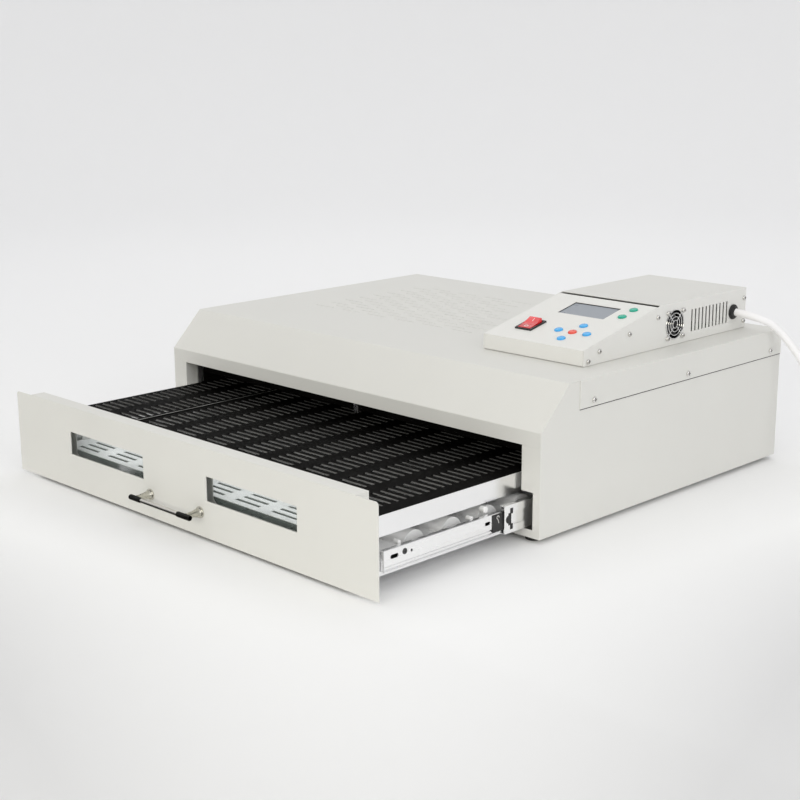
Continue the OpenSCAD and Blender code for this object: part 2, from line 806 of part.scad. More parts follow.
module control_housing() {
    color(shell) place() {
        box(box_x0 + sheet, box_x1 - sheet, box_y0 + 2, box_y1 - 2, box_z, box_z + sheet);
        along_x(box_x0, box_x0 + sheet) polygon(box_line);
        along_x(box_x1 - sheet, box_x1) difference() {
            polygon(box_line);
            translate([fan40_y, fan40_z]) circle(fan40_bore_r);
            for (i = [0 : 10]) translate([vent11_y0 + i * vent11_pitch - 1.5, box_z + 12]) square([3, 28.4]);
            translate([gland_y, gland_z]) circle(8);
        }
    }
}

module control_panel() {
    x0 = box_x0 + sheet + box_gap;
    x1 = box_x1 - sheet - box_gap;
    color(shell) place() {
        box(x0, x1, box_y0, box_y0 + sheet, box_z + sheet, box_z + box_front_h - 0.2);
        on_slope() translate([0, 0, -sheet]) linear_extrude(sheet) difference() {
            translate([x0, 0]) square([x1 - x0, panel_len - 6]);
            translate([switch_at[0] - 11, switch_at[1] - 14]) square([22, 28]);
            for (p = pad_blue) translate(pad_at + p) circle(button_dia / 2 + 0.2);
            for (p = [pad_at, start_at, stop_at]) translate(p) circle(button_dia / 2 + 0.2);
            translate([lcd_x0, lcd_s0]) square([lcd_x1 - lcd_x0, lcd_s1 - lcd_s0]);
        }
    }
}

module control_cover() {
    x0 = box_x0 + sheet + box_gap;
    x1 = box_x1 - sheet - box_gap;
    top = box_z + box_h;
    color(shell) place() {
        box(x0, x1, box_ridge_y + 0.4, box_y1, top - sheet, top);
        box(x0, x1, box_y1 - sheet, box_y1, box_z + sheet, top);
        box(x0, x1, box_ridge_y + 12, box_ridge_y + 12 + sheet, top - 7, top - sheet);
    }
}

module display_module() {
    color([0.55, 0.60, 0.66]) place() on_slope() {
        box(lcd_x0 - 2, lcd_x1 + 2, lcd_s0 - 2, lcd_s1 + 2, -4, -1.1);
        box(lcd_x0 - 9, lcd_x1 + 9, lcd_s0 - 12, lcd_s1 + 12, -5.6, -4);
    }
}

module switch_housing() {
    w = rocker_w / 2 + 0.5;
    l = rocker_l / 2 + 1.1;
    color(black_plastic) place() on_slope() translate([switch_at[0], switch_at[1], 0]) difference() {
        union() {
            box(-switch_w / 2, switch_w / 2, -switch_l / 2, switch_l / 2, 0, 2);
            box(-10.9, 10.9, -13.9, 13.9, -14, 0);
        }
        box(-w, w, -l, l, -12.5, 3);
        translate([-11, 0, -1]) rotate([0, 90, 0]) cylinder(h = 22, r = 1.56);
    }
}

// Rocker about its own pivot: a shallow V that stands rocker_tilt up on each half
module rocker() {
    l = rocker_l / 2;
    rise = l * tan(rocker_tilt);
    color([0.92, 0.05, 0.07]) place() on_slope() translate([switch_at[0], switch_at[1], -1])
        rotate([rocker_tilt, 0, 0]) {
            along_x(-rocker_w / 2, rocker_w / 2) polygon([[-l, 3.6 + rise], [0, 3.6], [l, 3.6 + rise],
                [l - 1.4, 0.6], [4, -5], [-4, -5], [1.4 - l, 0.6]]);
            rod_x(-rocker_w / 2 - 0.8, rocker_w / 2 + 0.8, 0, 0, 1.5);
        }
}

// A push button: a domed cap over a flange that stays under the panel
module button(at, tint) {
    r = button_dia / 2;
    color(tint) place() on_slope() translate([at[0], at[1], 0])
        rotate_extrude() polygon([[0, -2.6], [r + 1, -2.6], [r + 1, -1.4], [r, -1.4], [r, 1.2],
            [r * 0.92, 1.7], [r * 0.7, 2.05], [r * 0.4, 2.25], [0, 2.3]]);
}

module button_up() {
    button(pad_at + pad_blue[1], button_blue);
}

module button_down() {
    button(pad_at + pad_blue[2], button_blue);
}

module button_left() {
    button(pad_at + pad_blue[0], button_blue);
}

module button_right() {
    button(pad_at + pad_blue[3], button_blue);
}

module button_ok() {
    button(pad_at, button_red);
}

module button_start() {
    button(start_at, button_green);
}

module button_stop() {
    button(stop_at, button_green);
}

// Key board under the buttons, and the power board with its transformer on the box's floor
module control_board() {
    color([0.10, 0.35, 0.20]) place() {
        on_slope() {
            for (p = concat([for (q = pad_blue) pad_at + q], [pad_at, start_at, stop_at]))
                translate([p[0], p[1], -7]) cylinder(h = 3.2, r = 3);
            box(216, 290, 14, 72, -8.6, -7);
            box(266, 284, 98, 140, -8.6, -7);
        }
        box(155, 275, 330, 420, box_z + 6, box_z + 7.6);
        box(165, 205, 345, 395, box_z + 7.6, box_z + 38);
        for (x = [160, 270]) for (y = [335, 415]) translate([x, y, box_z + sheet]) cylinder(h = 5, r = 3);
    }
}

module cooling_fan_frame() {
    x1 = box_x1 - sheet;
    color(black_plastic) place() translate([x1 - fan40_t, fan40_y, fan40_z]) {
        difference() {
            box(0, fan40_t, -fan40_size / 2, fan40_size / 2, -fan40_size / 2, fan40_size / 2);
            rod_x(-1, fan40_t + 1, 0, 0, fan40_bore_r);
            for (y = [-1, 1]) for (z = [-1, 1])
                rod_x(-1, fan40_t + 1, y * fan40_pitch / 2, z * fan40_pitch / 2, 1.75);
        }
        for (a = [0 : 90 : 270]) rotate([a, 0, 0]) box(0, 1.6, 9, fan40_bore_r + 0.5, -1, 1);
        rod_x(0, 1.6, 0, 0, 10);
        rod_x(0, fan40_t - 4, 0, 0, 1.2);
    }
}

module cooling_fan_rotor() {
    color(black_plastic) place() translate([box_x1 - sheet - fan40_t, fan40_y, fan40_z])
        rotate([0, 0, -90]) rotor(9, 17.6, 2.4, fan40_t - 1, 1.2, 7);
}

module cooling_fan_guard() {
    color(nickel) place() translate([box_x1, fan40_y, fan40_z]) rotate([0, 0, -90])
        wire_guard([5, 9.5, 14, 18.4], 1.4, fan40_pitch);
}

module control_screws() {
    color(nickel) place() {
        for (p = box_screws) {
            translate([box_x1, p[0], p[1]]) rotate([0, 90, 0]) pan_screw(3.2, 1.5, 6);
            translate([box_x0, p[0], p[1]]) rotate([0, -90, 0]) pan_screw(3.2, 1.5, 6);
        }
        for (y = [-1, 1]) for (z = [-1, 1])
            translate([box_x1 + 1.4, fan40_y + y * fan40_pitch / 2, fan40_z + z * fan40_pitch / 2])
                rotate([0, 90, 0]) pan_screw(3.2, 1.5, 12);
    }
}

// ---- mains cord ----

module cable_gland() {
    color(black_plastic) place() translate([0, gland_y, gland_z]) rotate([0, 90, 0]) difference() {
        rotate_extrude() polygon([[0, box_x1 - 22], [6, box_x1 - 22], [7.8, box_x1 - sheet], [7.8, box_x1],
            [gland_r, box_x1], [gland_r, box_x1 + 2.4], [8.6, box_x1 + 4], [6.6, 304], [0, 304]]);
        translate([0, 0, box_x1 - 24]) cylinder(h = 21, r = cord_r);
    }
}

module power_cord() {
    color([0.93, 0.93, 0.92]) place() {
        swept(cord_route, cord_r);
        swept(tail_route, cord_r);
    }
}

module cord_coil() {
    color([0.93, 0.93, 0.92]) place() translate([coil_at[0], coil_at[1], floor_z])
        rotate_extrude() translate([coil_turn_r - cord_dia, 0]) square([2 * cord_dia, coil_layers * cord_dia]);
}

// Two-pin plug with a tapered boot, lying behind the body with its pins away from the cord
module plug() {
    color([0.93, 0.93, 0.92]) place() translate(tail_route[len(tail_route) - 1]) rotate([0, -90, 0]) {
        cylinder(h = 26, r1 = 6, r2 = 9);
        translate([0, 0, 26]) cylinder(h = 4, r1 = 9, r2 = 10);
        translate([-10, -16, 30]) cube([20, 32, 26]);
        for (y = [-9.5, 9.5]) translate([0, y, 56]) cylinder(h = 19, r = 2.4);
    }
}

base_pan();
side_panel_left();
side_panel_right();
top_cover();
rear_panel();
feet();
body_screws();
chamber_liner();
upper_reflector();
heater_tubes();
tube_caps();
insulation_blanket();
thermocouple();
exhaust_fan_frame();
exhaust_fan_rotor();
exhaust_fan_guard();
slide_brackets();
slide_outer_left();
slide_outer_right();
slide_middle_left();
slide_middle_right();
slide_retainers();
slide_inner_left();
slide_inner_right();
slide_levers();
drawer_front();
drawer_front_frame();
window_glass_left();
window_glass_right();
handle_bar();
handle_posts();
handle_grips();
drawer_tub();
tray_sides();
solder_tray();
lower_plate();
side_reflectors();
drawer_screws();
control_housing();
control_panel();
control_cover();
display_module();
switch_housing();
rocker();
button_up();
button_down();
button_left();
button_right();
button_ok();
button_start();
button_stop();
control_board();
cooling_fan_frame();
cooling_fan_rotor();
cooling_fan_guard();
control_screws();
cable_gland();
power_cord();
cord_coil();
plug();
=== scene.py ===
"""Looks of the reflow oven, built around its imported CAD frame.

Pieces are drawn in millimetres in the body's own axes, as the part's source has them: x from the middle
to the right, y from the body's front face to the rear, z up from the underside of the base. PLACE then
brings them into the frame, in metres.
"""
import json
import math

import bmesh
import bpy
from mathutils import Matrix, Vector

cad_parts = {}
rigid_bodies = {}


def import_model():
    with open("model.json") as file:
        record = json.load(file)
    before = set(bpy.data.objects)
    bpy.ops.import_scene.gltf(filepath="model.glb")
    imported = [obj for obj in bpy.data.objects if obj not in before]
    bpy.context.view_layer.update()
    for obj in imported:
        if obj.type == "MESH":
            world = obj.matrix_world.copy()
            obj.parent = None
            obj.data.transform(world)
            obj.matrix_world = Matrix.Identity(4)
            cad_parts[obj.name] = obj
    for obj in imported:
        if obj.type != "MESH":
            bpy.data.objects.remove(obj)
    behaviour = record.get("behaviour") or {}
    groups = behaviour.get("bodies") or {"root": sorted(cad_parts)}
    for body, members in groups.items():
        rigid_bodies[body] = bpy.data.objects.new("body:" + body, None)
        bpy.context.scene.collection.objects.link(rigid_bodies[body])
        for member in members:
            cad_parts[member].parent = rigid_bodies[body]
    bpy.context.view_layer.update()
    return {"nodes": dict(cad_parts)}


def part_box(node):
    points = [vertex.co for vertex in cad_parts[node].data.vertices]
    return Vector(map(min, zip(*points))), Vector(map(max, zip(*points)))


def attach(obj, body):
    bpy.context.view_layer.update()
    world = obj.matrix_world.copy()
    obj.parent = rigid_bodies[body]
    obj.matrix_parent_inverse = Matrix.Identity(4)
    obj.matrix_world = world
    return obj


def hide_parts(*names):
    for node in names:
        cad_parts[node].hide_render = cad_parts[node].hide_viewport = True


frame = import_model()
cad = frame["nodes"]

MM = 0.001
SIDE_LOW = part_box("side_panel_right")[0]
PLACE = Matrix.Translation((0, SIDE_LOW.y, SIDE_LOW.z)) @ Matrix.Scale(MM, 4)


def body_box(name):
    """A CAD node's lowest and highest corner in the body's axes, in millimetres."""
    return [PLACE.inverted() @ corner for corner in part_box(name)]


def turn(axis, degrees):
    """A turn about an axis."""
    return Matrix.Rotation(math.radians(degrees), 4, axis)


def shift(x, y, z):
    """A move along the axes."""
    return Matrix.Translation((x, y, z))


def add_object(name, data):
    """Makes an object from its data and puts it into the scene."""
    made = bpy.data.objects.new(name, data)
    bpy.context.scene.collection.objects.link(made)
    return made


# ---- camera ----

CAMERA_AT = Vector((1.3304, -1.3107, 0.5513))
CAMERA_AZIMUTH = 45.27
CAMERA_ELEVATION = 13.84
CAMERA_ROLL = -0.31
CAMERA_LENS = 65.5


def make_camera():
    """The camera that sees the oven from its front right, a little above it."""
    data = bpy.data.cameras.new("camera")
    data.lens = CAMERA_LENS
    data.sensor_width = 36
    data.clip_start = 0.05
    data.clip_end = 60
    camera = add_object("camera", data)
    aim = turn("Z", CAMERA_AZIMUTH) @ turn("X", 90 - CAMERA_ELEVATION) @ turn("Z", CAMERA_ROLL)
    camera.matrix_world = Matrix.Translation(CAMERA_AT) @ aim
    bpy.context.scene.camera = camera


# ---- mesh helpers ----

def angles(count):
    """Equal steps once round a circle, in radians."""
    return [2 * math.pi * k / count for k in range(count)]


def ring(radius, z, sides, centre=(0, 0)):
    """A circle of points at height z."""
    x, y = centre
    return [Vector((x + radius * math.cos(a), y + radius * math.sin(a), z)) for a in angles(sides)]


def loft(bm, rings, matrix=Matrix(), closed=False, caps=True):
    """Skins a stack of rings that have the same number of points, and caps both ends."""
    made = [[bm.verts.new(matrix @ point) for point in points] for points in rings]
    pairs = list(zip(made, made[1:]))
    if closed:
        pairs.append((made[-1], made[0]))
    for low, high in pairs:
        for i in range(len(low)):
            j = (i + 1) % len(low)
            bm.faces.new((low[i], low[j], high[j], high[i]))
    if caps and not closed:
        bm.faces.new(list(reversed(made[0])))
        bm.faces.new(made[-1])


def turned(bm, profile, matrix=Matrix(), sides=32):
    """A turned solid about z, from (radius, height) pairs."""
    loft(bm, [ring(r, z, sides) for r, z in profile], matrix)


def wire(bm, points, radius, up, closed=False, sides=8):
    """A round wire along points that lie in the plane square to up."""
    rings = []
    count = len(points)
    for i, point in enumerate(points):
        before = points[i - 1] if closed or i else point
        after = points[(i + 1) % count] if closed or i < count - 1 else point
        along = (after - before).normalized()
        across = along.cross(up).normalized()
        rings.append([point + radius * (math.cos(a) * across + math.sin(a) * up) for a in angles(sides)])
    loft(bm, rings, closed=closed)


def rounded_box(bm, low, high, radius, matrix=Matrix(), segments=3):
    """A box from one corner to the other, with its edges rounded."""
    size = [b - a for a, b in zip(low, high)]
    centre = [(a + b) / 2 for a, b in zip(low, high)]
    made = bmesh.ops.create_cube(bm, size=1, matrix=matrix @ shift(*centre) @ Matrix.Diagonal((*size, 1)))
    edges = list({e for v in made["verts"] for e in v.link_edges})
    bmesh.ops.bevel(bm, geom=edges, offset=radius, segments=segments, profile=0.5, affect="EDGES")


def piece(name, bm, slot, body, replaces=(), finish=None, crease=35):
    """Makes a piece of the object from a mesh drawn in the body's axes.

    Finish is the name of its material where that isn't the slot's own, and edges sharper than crease,
    in degrees, stay sharp.
    """
    bm.transform(PLACE)
    bmesh.ops.recalc_face_normals(bm, faces=bm.faces)
    mesh = bpy.data.meshes.new(name)
    bm.to_mesh(mesh)
    bm.free()
    mesh.materials.append(MATERIALS[finish or slot])
    mesh.shade_smooth()
    mesh.set_sharp_from_angle(angle=math.radians(crease))
    made = add_object(name, mesh)
    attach(made, body)
    if replaces:
        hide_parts(*replaces)
    return made


# ---- materials ----

def link(tree, source, socket):
    """Feeds one node's output into another's input."""
    tree.links.new(source, socket)


def place_on(tree):
    """The place on the piece, in its own axes and in metres."""
    return tree.nodes.new("ShaderNodeTexCoord").outputs["Object"]


def place_parts(tree):
    """The x, y and z of the place on the piece."""
    parts = tree.nodes.new("ShaderNodeSeparateXYZ")
    link(tree, place_on(tree), parts.inputs["Vector"])
    return [parts.outputs[axis] for axis in "XYZ"]


def noise(tree, scale, stretch=(1, 1, 1), detail=3):
    """A noise value over the piece: scale in waves per metre, multiplied along each axis by stretch."""
    mapping = tree.nodes.new("ShaderNodeMapping")
    mapping.inputs["Scale"].default_value = stretch
    texture = tree.nodes.new("ShaderNodeTexNoise")
    texture.inputs["Scale"].default_value = scale
    texture.inputs["Detail"].default_value = detail
    link(tree, place_on(tree), mapping.inputs["Vector"])
    link(tree, mapping.outputs["Vector"], texture.inputs["Vector"])
    return texture.outputs["Fac"]


def spread(tree, value, low, high, start=0.3, end=0.7):
    """Maps a value from start..end onto low..high."""
    node = tree.nodes.new("ShaderNodeMapRange")
    for key, number in (("From Min", start), ("From Max", end), ("To Min", low), ("To Max", high)):
        node.inputs[key].default_value = number
    link(tree, value, node.inputs["Value"])
    return node.outputs["Result"]


def ramp(tree, value, stops):
    """Colours for a value, from (position, colour) stops."""
    node = tree.nodes.new("ShaderNodeValToRGB")
    elements = node.color_ramp.elements
    while len(elements) < len(stops):
        elements.new(0.5)
    for element, (position, colour) in zip(elements, stops):
        element.position = position
        element.color = (*colour, 1)
    link(tree, value, node.inputs["Fac"])
    return node.outputs["Color"]


def material(name, colour, rough, metallic=0.0, vary=0.03, cloud=30, rough_by=0.05,
             grain=(900, 0.00003), stretch=(1, 1, 1), **sockets):
    """A finish: its colour and gloss vary a little over the surface, and a fine grain bends the light.

    Grain is (waves per metre, depth in metres). Sockets are set on the shader by name, with _ for a space.
    """
    made = bpy.data.materials.new(name)
    made.use_nodes = True
    tree = made.node_tree
    shader = tree.nodes["Principled BSDF"]
    shader.inputs["Metallic"].default_value = metallic
    for key, value in sockets.items():
        shader.inputs[key.replace("_", " ")].default_value = value
    clouds = noise(tree, cloud, stretch)
    darker = [c * (1 - vary) for c in colour]
    lighter = [min(1, c * (1 + vary)) for c in colour]
    link(tree, ramp(tree, clouds, [(0.3, darker), (0.7, lighter)]), shader.inputs["Base Color"])
    fine = noise(tree, grain[0], stretch, detail=2)
    link(tree, spread(tree, clouds, rough - rough_by, rough + rough_by), shader.inputs["Roughness"])
    bump = tree.nodes.new("ShaderNodeBump")
    bump.inputs["Strength"].default_value = 1
    bump.inputs["Distance"].default_value = grain[1]
    link(tree, fine, bump.inputs["Height"])
    link(tree, bump.outputs["Normal"], shader.inputs["Normal"])
    return made


def fade(finish, low, start=-0.3, end=-0.1):
    """Darkens a finish along y, from its full colour at start to a low share of it at end, in metres, so
    that a painted highlight fades towards the rear.
    """
    tree = finish.node_tree
    along = place_parts(tree)[1]
    scale = tree.nodes.new("ShaderNodeVectorMath")
    scale.operation = "SCALE"
    colour = tree.nodes["Principled BSDF"].inputs["Base Color"]
    link(tree, spread(tree, along, 1, low, start, end), scale.inputs["Scale"])
    link(tree, colour.links[0].from_socket, scale.inputs[0])
    link(tree, scale.outputs["Vector"], colour)


def make_materials():
    """Every finish of the oven, by name."""
    made = {}

    def add(name, *arguments, **settings):
        """Keeps a new finish under its name."""
        made[name] = material(name, *arguments, **settings)

    add("body_paint", (0.745, 0.74, 0.705), 0.5, vary=0.01, cloud=9, grain=(1400, 0.00002),
        Specular_IOR_Level=0.35)
    add("rubber_foot", (0.015, 0.015, 0.016), 0.75, grain=(1800, 0.00008))
    add("nickel_screw", (0.72, 0.71, 0.69), 0.16, 1.0, vary=0.05, cloud=300, grain=(2500, 0.00001))
    add("black_enamel", (0.0042, 0.0039, 0.0036), 0.6, vary=0.35, cloud=22, grain=(700, 0.00003),
        Specular_IOR_Level=0.02)
    add("polished_aluminium", (0.94, 0.94, 0.95), 0.24, 1.0, vary=0.02, cloud=12, stretch=(1, 0.15, 1),
        grain=(1500, 0.000003))
    add("quartz_tube", (0.9, 0.88, 0.84), 0.3, vary=0.03, Transmission_Weight=0.25, grain=(500, 0.00001))
    add("ceramic", (0.85, 0.83, 0.76), 0.35, vary=0.04, cloud=120, Coat_Weight=0.4)
    add("insulation", (0.72, 0.70, 0.62), 0.95, vary=0.15, cloud=160, grain=(420, 0.0008))
    add("black_plastic", (0.012, 0.012, 0.013), 0.42, vary=0.15, cloud=80, grain=(2200, 0.00003))
    add("chrome_wire", (0.82, 0.82, 0.82), 0.12, 1.0, vary=0.03, cloud=200)
    add("zinc_steel", (0.95, 0.95, 0.955), 0.26, 1.0, vary=0.04, cloud=60, stretch=(1, 0.08, 1),
        grain=(1800, 0.000004))
    add("window_glass", (0.80, 0.92, 0.89), 0.04, vary=0.01, rough_by=0.01, grain=(20, 0.00001),
        Alpha=0.09)
    add("chrome_handle", (0.74, 0.72, 0.67), 0.10, 1.0, vary=0.02, cloud=90, grain=(900, 0.000003))
    add("black_grip", (0.006, 0.006, 0.005), 0.45, vary=0.2, cloud=400, Specular_IOR_Level=0.2)
    add("brushed_plate", (0.90, 0.925, 0.92), 0.38, 0.35, vary=0.06, cloud=26, stretch=(1, 0.5, 1),
        grain=(2400, 0.00001))
    add("display_screen", (0.30, 0.325, 0.365), 0.3, vary=0.03, cloud=30, grain=(60, 0.00001),
        Specular_IOR_Level=0.35)
    add("rocker_red", (0.70, 0.004, 0.010), 0.16, vary=0.2, cloud=90, grain=(500, 0.00001),
        Coat_Weight=0.5, Coat_Roughness=0.06)
    for name, colour in (("button_blue", (0.055, 0.42, 0.86)), ("button_red", (0.84, 0.085, 0.05)),
                         ("button_green", (0.008, 0.40, 0.27))):
        add(name, colour, 0.26, vary=0.05, cloud=150, grain=(1500, 0.00001), Coat_Weight=0.25)
    add("circuit_board", (0.02, 0.16, 0.07), 0.4, vary=0.3, cloud=260, grain=(900, 0.00005))
    add("white_cord", (0.93, 0.92, 0.925), 0.5, vary=0.01, cloud=50, grain=(1200, 0.00003))

    # Finishes that aren't a slot of their own
    add("box_paint", (0.80, 0.795, 0.765), 0.45, vary=0.01, cloud=9, grain=(1400, 0.00002),
        Specular_IOR_Level=0.35)
    add("ridge_white", (0.95, 0.95, 0.94), 0.4, 0.15, vary=0.02, cloud=50)
    # Painted highlight: the slot lips are paler than the enamel, and darken towards the rear where the
    # highlight fades
    add("slot_lip_highlight", (0.20, 0.195, 0.185), 0.45, vary=0.3, cloud=30)
    fade(made["slot_lip_highlight"], 0.25)
    # Painted highlight: the tray rib's edge is paler than the enamel, and darkens towards the rear
    add("rib_edge_highlight", (0.42, 0.42, 0.40), 0.4, vary=0.3, cloud=40)
    fade(made["rib_edge_highlight"], 0.3)
    add("satin_nickel", (0.56, 0.545, 0.48), 0.26, 1.0, vary=0.04, cloud=200)
    add("dark_steel", (0.10, 0.10, 0.10), 0.22, 1.0, vary=0.3, cloud=200)
    add("print", (0.85, 0.85, 0.82), 0.5)
    add("dark_line", (0.012, 0.012, 0.013), 0.6, Specular_IOR_Level=0.2)
    return made


# ---- cord: the same route as in the part's source, in metres ----

CORD_DIAMETER = 0.010
ROUTE = [(0.304, 0.437, 0.198), (0.316, 0.4376, 0.1967), (0.3274, 0.4402, 0.1948), (0.3374, 0.4452, 0.1918),
         (0.3458, 0.452, 0.187), (0.353, 0.459, 0.1794), (0.361, 0.4652, 0.169), (0.3704, 0.4702, 0.156),
         (0.381, 0.4738, 0.1415), (0.3905, 0.4756, 0.1255), (0.3987, 0.4756, 0.1085),
         (0.4058, 0.474, 0.0915), (0.412, 0.471, 0.075), (0.418, 0.4675, 0.0595), (0.4248, 0.464, 0.0448),
         (0.4332, 0.4614, 0.0315), (0.4438, 0.4608, 0.0198), (0.4556, 0.4634, 0.010),
         (0.4685, 0.4692, 0.003), (0.482, 0.4775, -0.0004), (0.496, 0.4865, -0.001), (0.510, 0.496, -0.001)]
TAIL = [(0.483, 0.613, 0.009), (0.469, 0.615, 0.008), (0.456, 0.617, 0.005), (0.442, 0.619, 0.002),
        (0.428, 0.620, 0.001), (0.414, 0.620, 0.002), (0.400, 0.620, 0.004)]
COIL_AT = (0.472, 0.549)
COIL_TURN_RADIUS = 0.060
COIL_FULL_TURNS = 3
COIL_STEP = 15
# Where the cord moves to the inner column, climbs to the upper layer and moves back out, in degrees
COIL_IN, COIL_UP, COIL_OUT = (285, 360), (570, 645), (855, 930)


def eased(angle, span):
    """0 before the span and 1 after it, with a smooth change between."""
    share = min(1, max(0, (angle - span[0]) / (span[1] - span[0])))
    return 0.5 - 0.5 * math.cos(math.pi * share)


def coil_turns():
    """The coil's points, two turns side by side in each of two layers."""
    def bearing(point):
        """The direction from the coil's middle to a point, in degrees."""
        return math.degrees(math.atan2(point[1] - COIL_AT[1], point[0] - COIL_AT[0]))

    start = bearing(ROUTE[-1])
    sweep = 360 * COIL_FULL_TURNS + (bearing(TAIL[0]) - start)
    count = round(sweep / COIL_STEP)
    points = []
    for i in range(1, count):
        angle = sweep * i / count
        radius = COIL_TURN_RADIUS + CORD_DIAMETER * (0.5 - eased(angle, COIL_IN) + eased(angle, COIL_OUT))
        height = ROUTE[-1][2] + CORD_DIAMETER * eased(angle, COIL_UP)
        heading = math.radians(start + angle)
        points.append((COIL_AT[0] + radius * math.cos(heading),
                       COIL_AT[1] + radius * math.sin(heading), height))
    return points


def make_cord():
    """The mains cord: a round curve along its route, its coil and its tail."""
    points = ROUTE + coil_turns() + TAIL
    curve = bpy.data.curves.new("mains_cord", "CURVE")
    curve.dimensions = "3D"
    curve.bevel_depth = CORD_DIAMETER / 2
    curve.bevel_resolution = 5
    curve.resolution_u = 5
    spline = curve.splines.new("BEZIER")
    spline.bezier_points.add(len(points) - 1)
    for knot, point in zip(spline.bezier_points, points):
        knot.co = PLACE @ (Vector(point) / MM)
        knot.handle_left_type = knot.handle_right_type = "AUTO"
    curve.use_fill_caps = True
    curve.materials.append(MATERIALS["white_cord"])
    made = add_object("mains_cord", curve)
    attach(made, "body")
    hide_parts("power_cord", "cord_coil")
    return made


PLUG_RIBS = 5
PLUG_PIN_PITCH = 19


def make_plug():
    """A moulded two-pin plug with a ribbed boot, its pins away from the cord."""
    end = Vector(TAIL[-1]) / MM
    along = shift(*end) @ turn("Y", -90)
    bm = bmesh.new()
    boot = [(5.2, -1), (6.2, 0)]
    for rib in range(PLUG_RIBS):
        z = 2 + rib * 4.6
        r = 6.4 + rib * 0.5
        boot += [(r, z), (r + 0.6, z + 0.5), (r + 0.6, z + 2.6), (r, z + 3.1)]
    turned(bm, boot + [(9, 26), (10, 30)], along, 40)
    rounded_box(bm, (-10, -16, 29.5), (10, 16, 56), 4.5, along, 5)
    housing = piece("plug_housing", bm, "white_cord", "body", ["plug"])
    bm = bmesh.new()
    for y in (-PLUG_PIN_PITCH / 2, PLUG_PIN_PITCH / 2):
        turned(bm, [(2.4, 55.5), (2.4, 73), (1.9, 74.4), (0.8, 75)], along @ shift(0, y, 0), 20)
    pins = piece("plug_pins", bm, "nickel_screw", "body")
    return [housing, pins]


def make_gland():
    """The black strain relief: a nut on the wall and a short boot that narrows to the cord."""
    low, high = body_box("cable_gland")
    wall = body_box("control_housing")[1].x
    centre = (low + high) / 2
    along = shift(0, centre.y, centre.z) @ turn("Y", 90)
    bm = bmesh.new()
    inside = [(5.1, low.x), (6.2, low.x + 0.5), (7.6, wall - 1.2), (7.6, wall)]
    nut = [(9.3, wall), (9.8, wall + 0.5), (9.8, wall + 1.9), (9.3, wall + 2.5)]
    boot = [(8.5, wall + 2.5), (8.3, wall + 3.6), (7.6, wall + 4.2), (6.4, wall + 4.4), (5.9, high.x - 0.2),
            (5.2, high.x)]
    turned(bm, inside + nut + boot, along, 48)
    return piece("strain_relief", bm, "black_plastic", "body", ["cable_gland"])


MATERIALS = make_materials()
make_camera()
cord = make_cord()
cord_pieces = make_plug() + [make_gland()]


# ---- CAD nodes that show as they are: finish, and a small radius on their edges ----

def soften(name, width, segments=2, angle=30):
    """Rounds the edges of a CAD node by a bevel modifier, width in millimetres."""
    made = cad[name]
    weld = made.modifiers.new("weld", "WELD")
    weld.merge_threshold = 0.000005
    flat = made.modifiers.new("flat", "DECIMATE")
    flat.decimate_type = "DISSOLVE"
    flat.angle_limit = math.radians(0.3)
    bevel = made.modifiers.new("bevel", "BEVEL")
    bevel.width = width * MM
    bevel.segments = segments
    bevel.limit_method = "ANGLE"
    bevel.angle_limit = math.radians(angle)
    bevel.harden_normals = True
    normals = made.modifiers.new("normals", "WEIGHTED_NORMAL")
    normals.keep_sharp = True


# The CAD nodes of each finish, and then those of each edge radius in millimetres
FINISHES = {
    "body_paint": ["base_pan", "side_panel_left", "side_panel_right", "top_cover", "rear_panel",
                   "drawer_front", "drawer_front_frame", "control_cover"],
    "box_paint": ["control_housing", "control_panel"],
    "black_enamel": ["chamber_liner", "solder_tray"],
    "polished_aluminium": ["upper_reflector", "drawer_tub", "tray_sides"],
    "ridge_white": ["side_reflectors"],
    "quartz_tube": ["heater_tubes"],
    "ceramic": ["tube_caps"],
    "insulation": ["insulation_blanket"],
    "zinc_steel": ["thermocouple", "slide_brackets", "slide_outer_left", "slide_outer_right",
                   "slide_middle_left", "slide_middle_right", "slide_inner_left", "slide_inner_right"],
    "black_plastic": ["exhaust_fan_frame", "slide_retainers", "slide_levers", "switch_housing",
                      "cooling_fan_frame"],
    "window_glass": ["window_glass_left", "window_glass_right"],
    "brushed_plate": ["lower_plate"],
    "circuit_board": ["control_board"],
    "rubber_foot": ["feet"],
    "nickel_screw": ["body_screws", "control_screws", "drawer_screws"],
    "chrome_wire": ["exhaust_fan_guard", "cooling_fan_guard"],
    "chrome_handle": ["handle_bar", "handle_posts"],
    "black_grip": ["handle_grips"],
    "display_screen": ["display_module"],
    "rocker_red": ["rocker"],
    "button_blue": ["button_up", "button_down", "button_left", "button_right"],
    "button_red": ["button_ok"],
    "button_green": ["button_start", "button_stop"],
}
SOFT_EDGES = {
    0.35: FINISHES["body_paint"] + FINISHES["box_paint"],
    0.3: ["solder_tray", "lower_plate", "drawer_tub", "tray_sides", "chamber_liner"],
    0.25: ["slide_outer_left", "slide_outer_right", "slide_middle_left", "slide_middle_right",
           "slide_inner_left", "slide_inner_right", "slide_brackets", "slide_levers", "cooling_fan_frame",
           "exhaust_fan_frame", "thermocouple"],
}


def finish_cad_nodes():
    """Gives each CAD node its material, and the sheet metal its softened edges."""
    for finish, names in FINISHES.items():
        for name in names:
            mesh = cad[name].data
            mesh.materials.clear()
            mesh.materials.append(MATERIALS[finish])
    for width, names in SOFT_EDGES.items():
        for name in names:
            soften(name, width)


finish_cad_nodes()


# ---- small parts: detailed ones for CAD nodes that are too plain to show, trim that has no node, and dark strips of painted shade ----

# The control box: front edge and ridge of its sloped panel, as (y, z)
BOX_FRONT = (123.7, 192.5)
BOX_RIDGE = (275.8, 226.7)
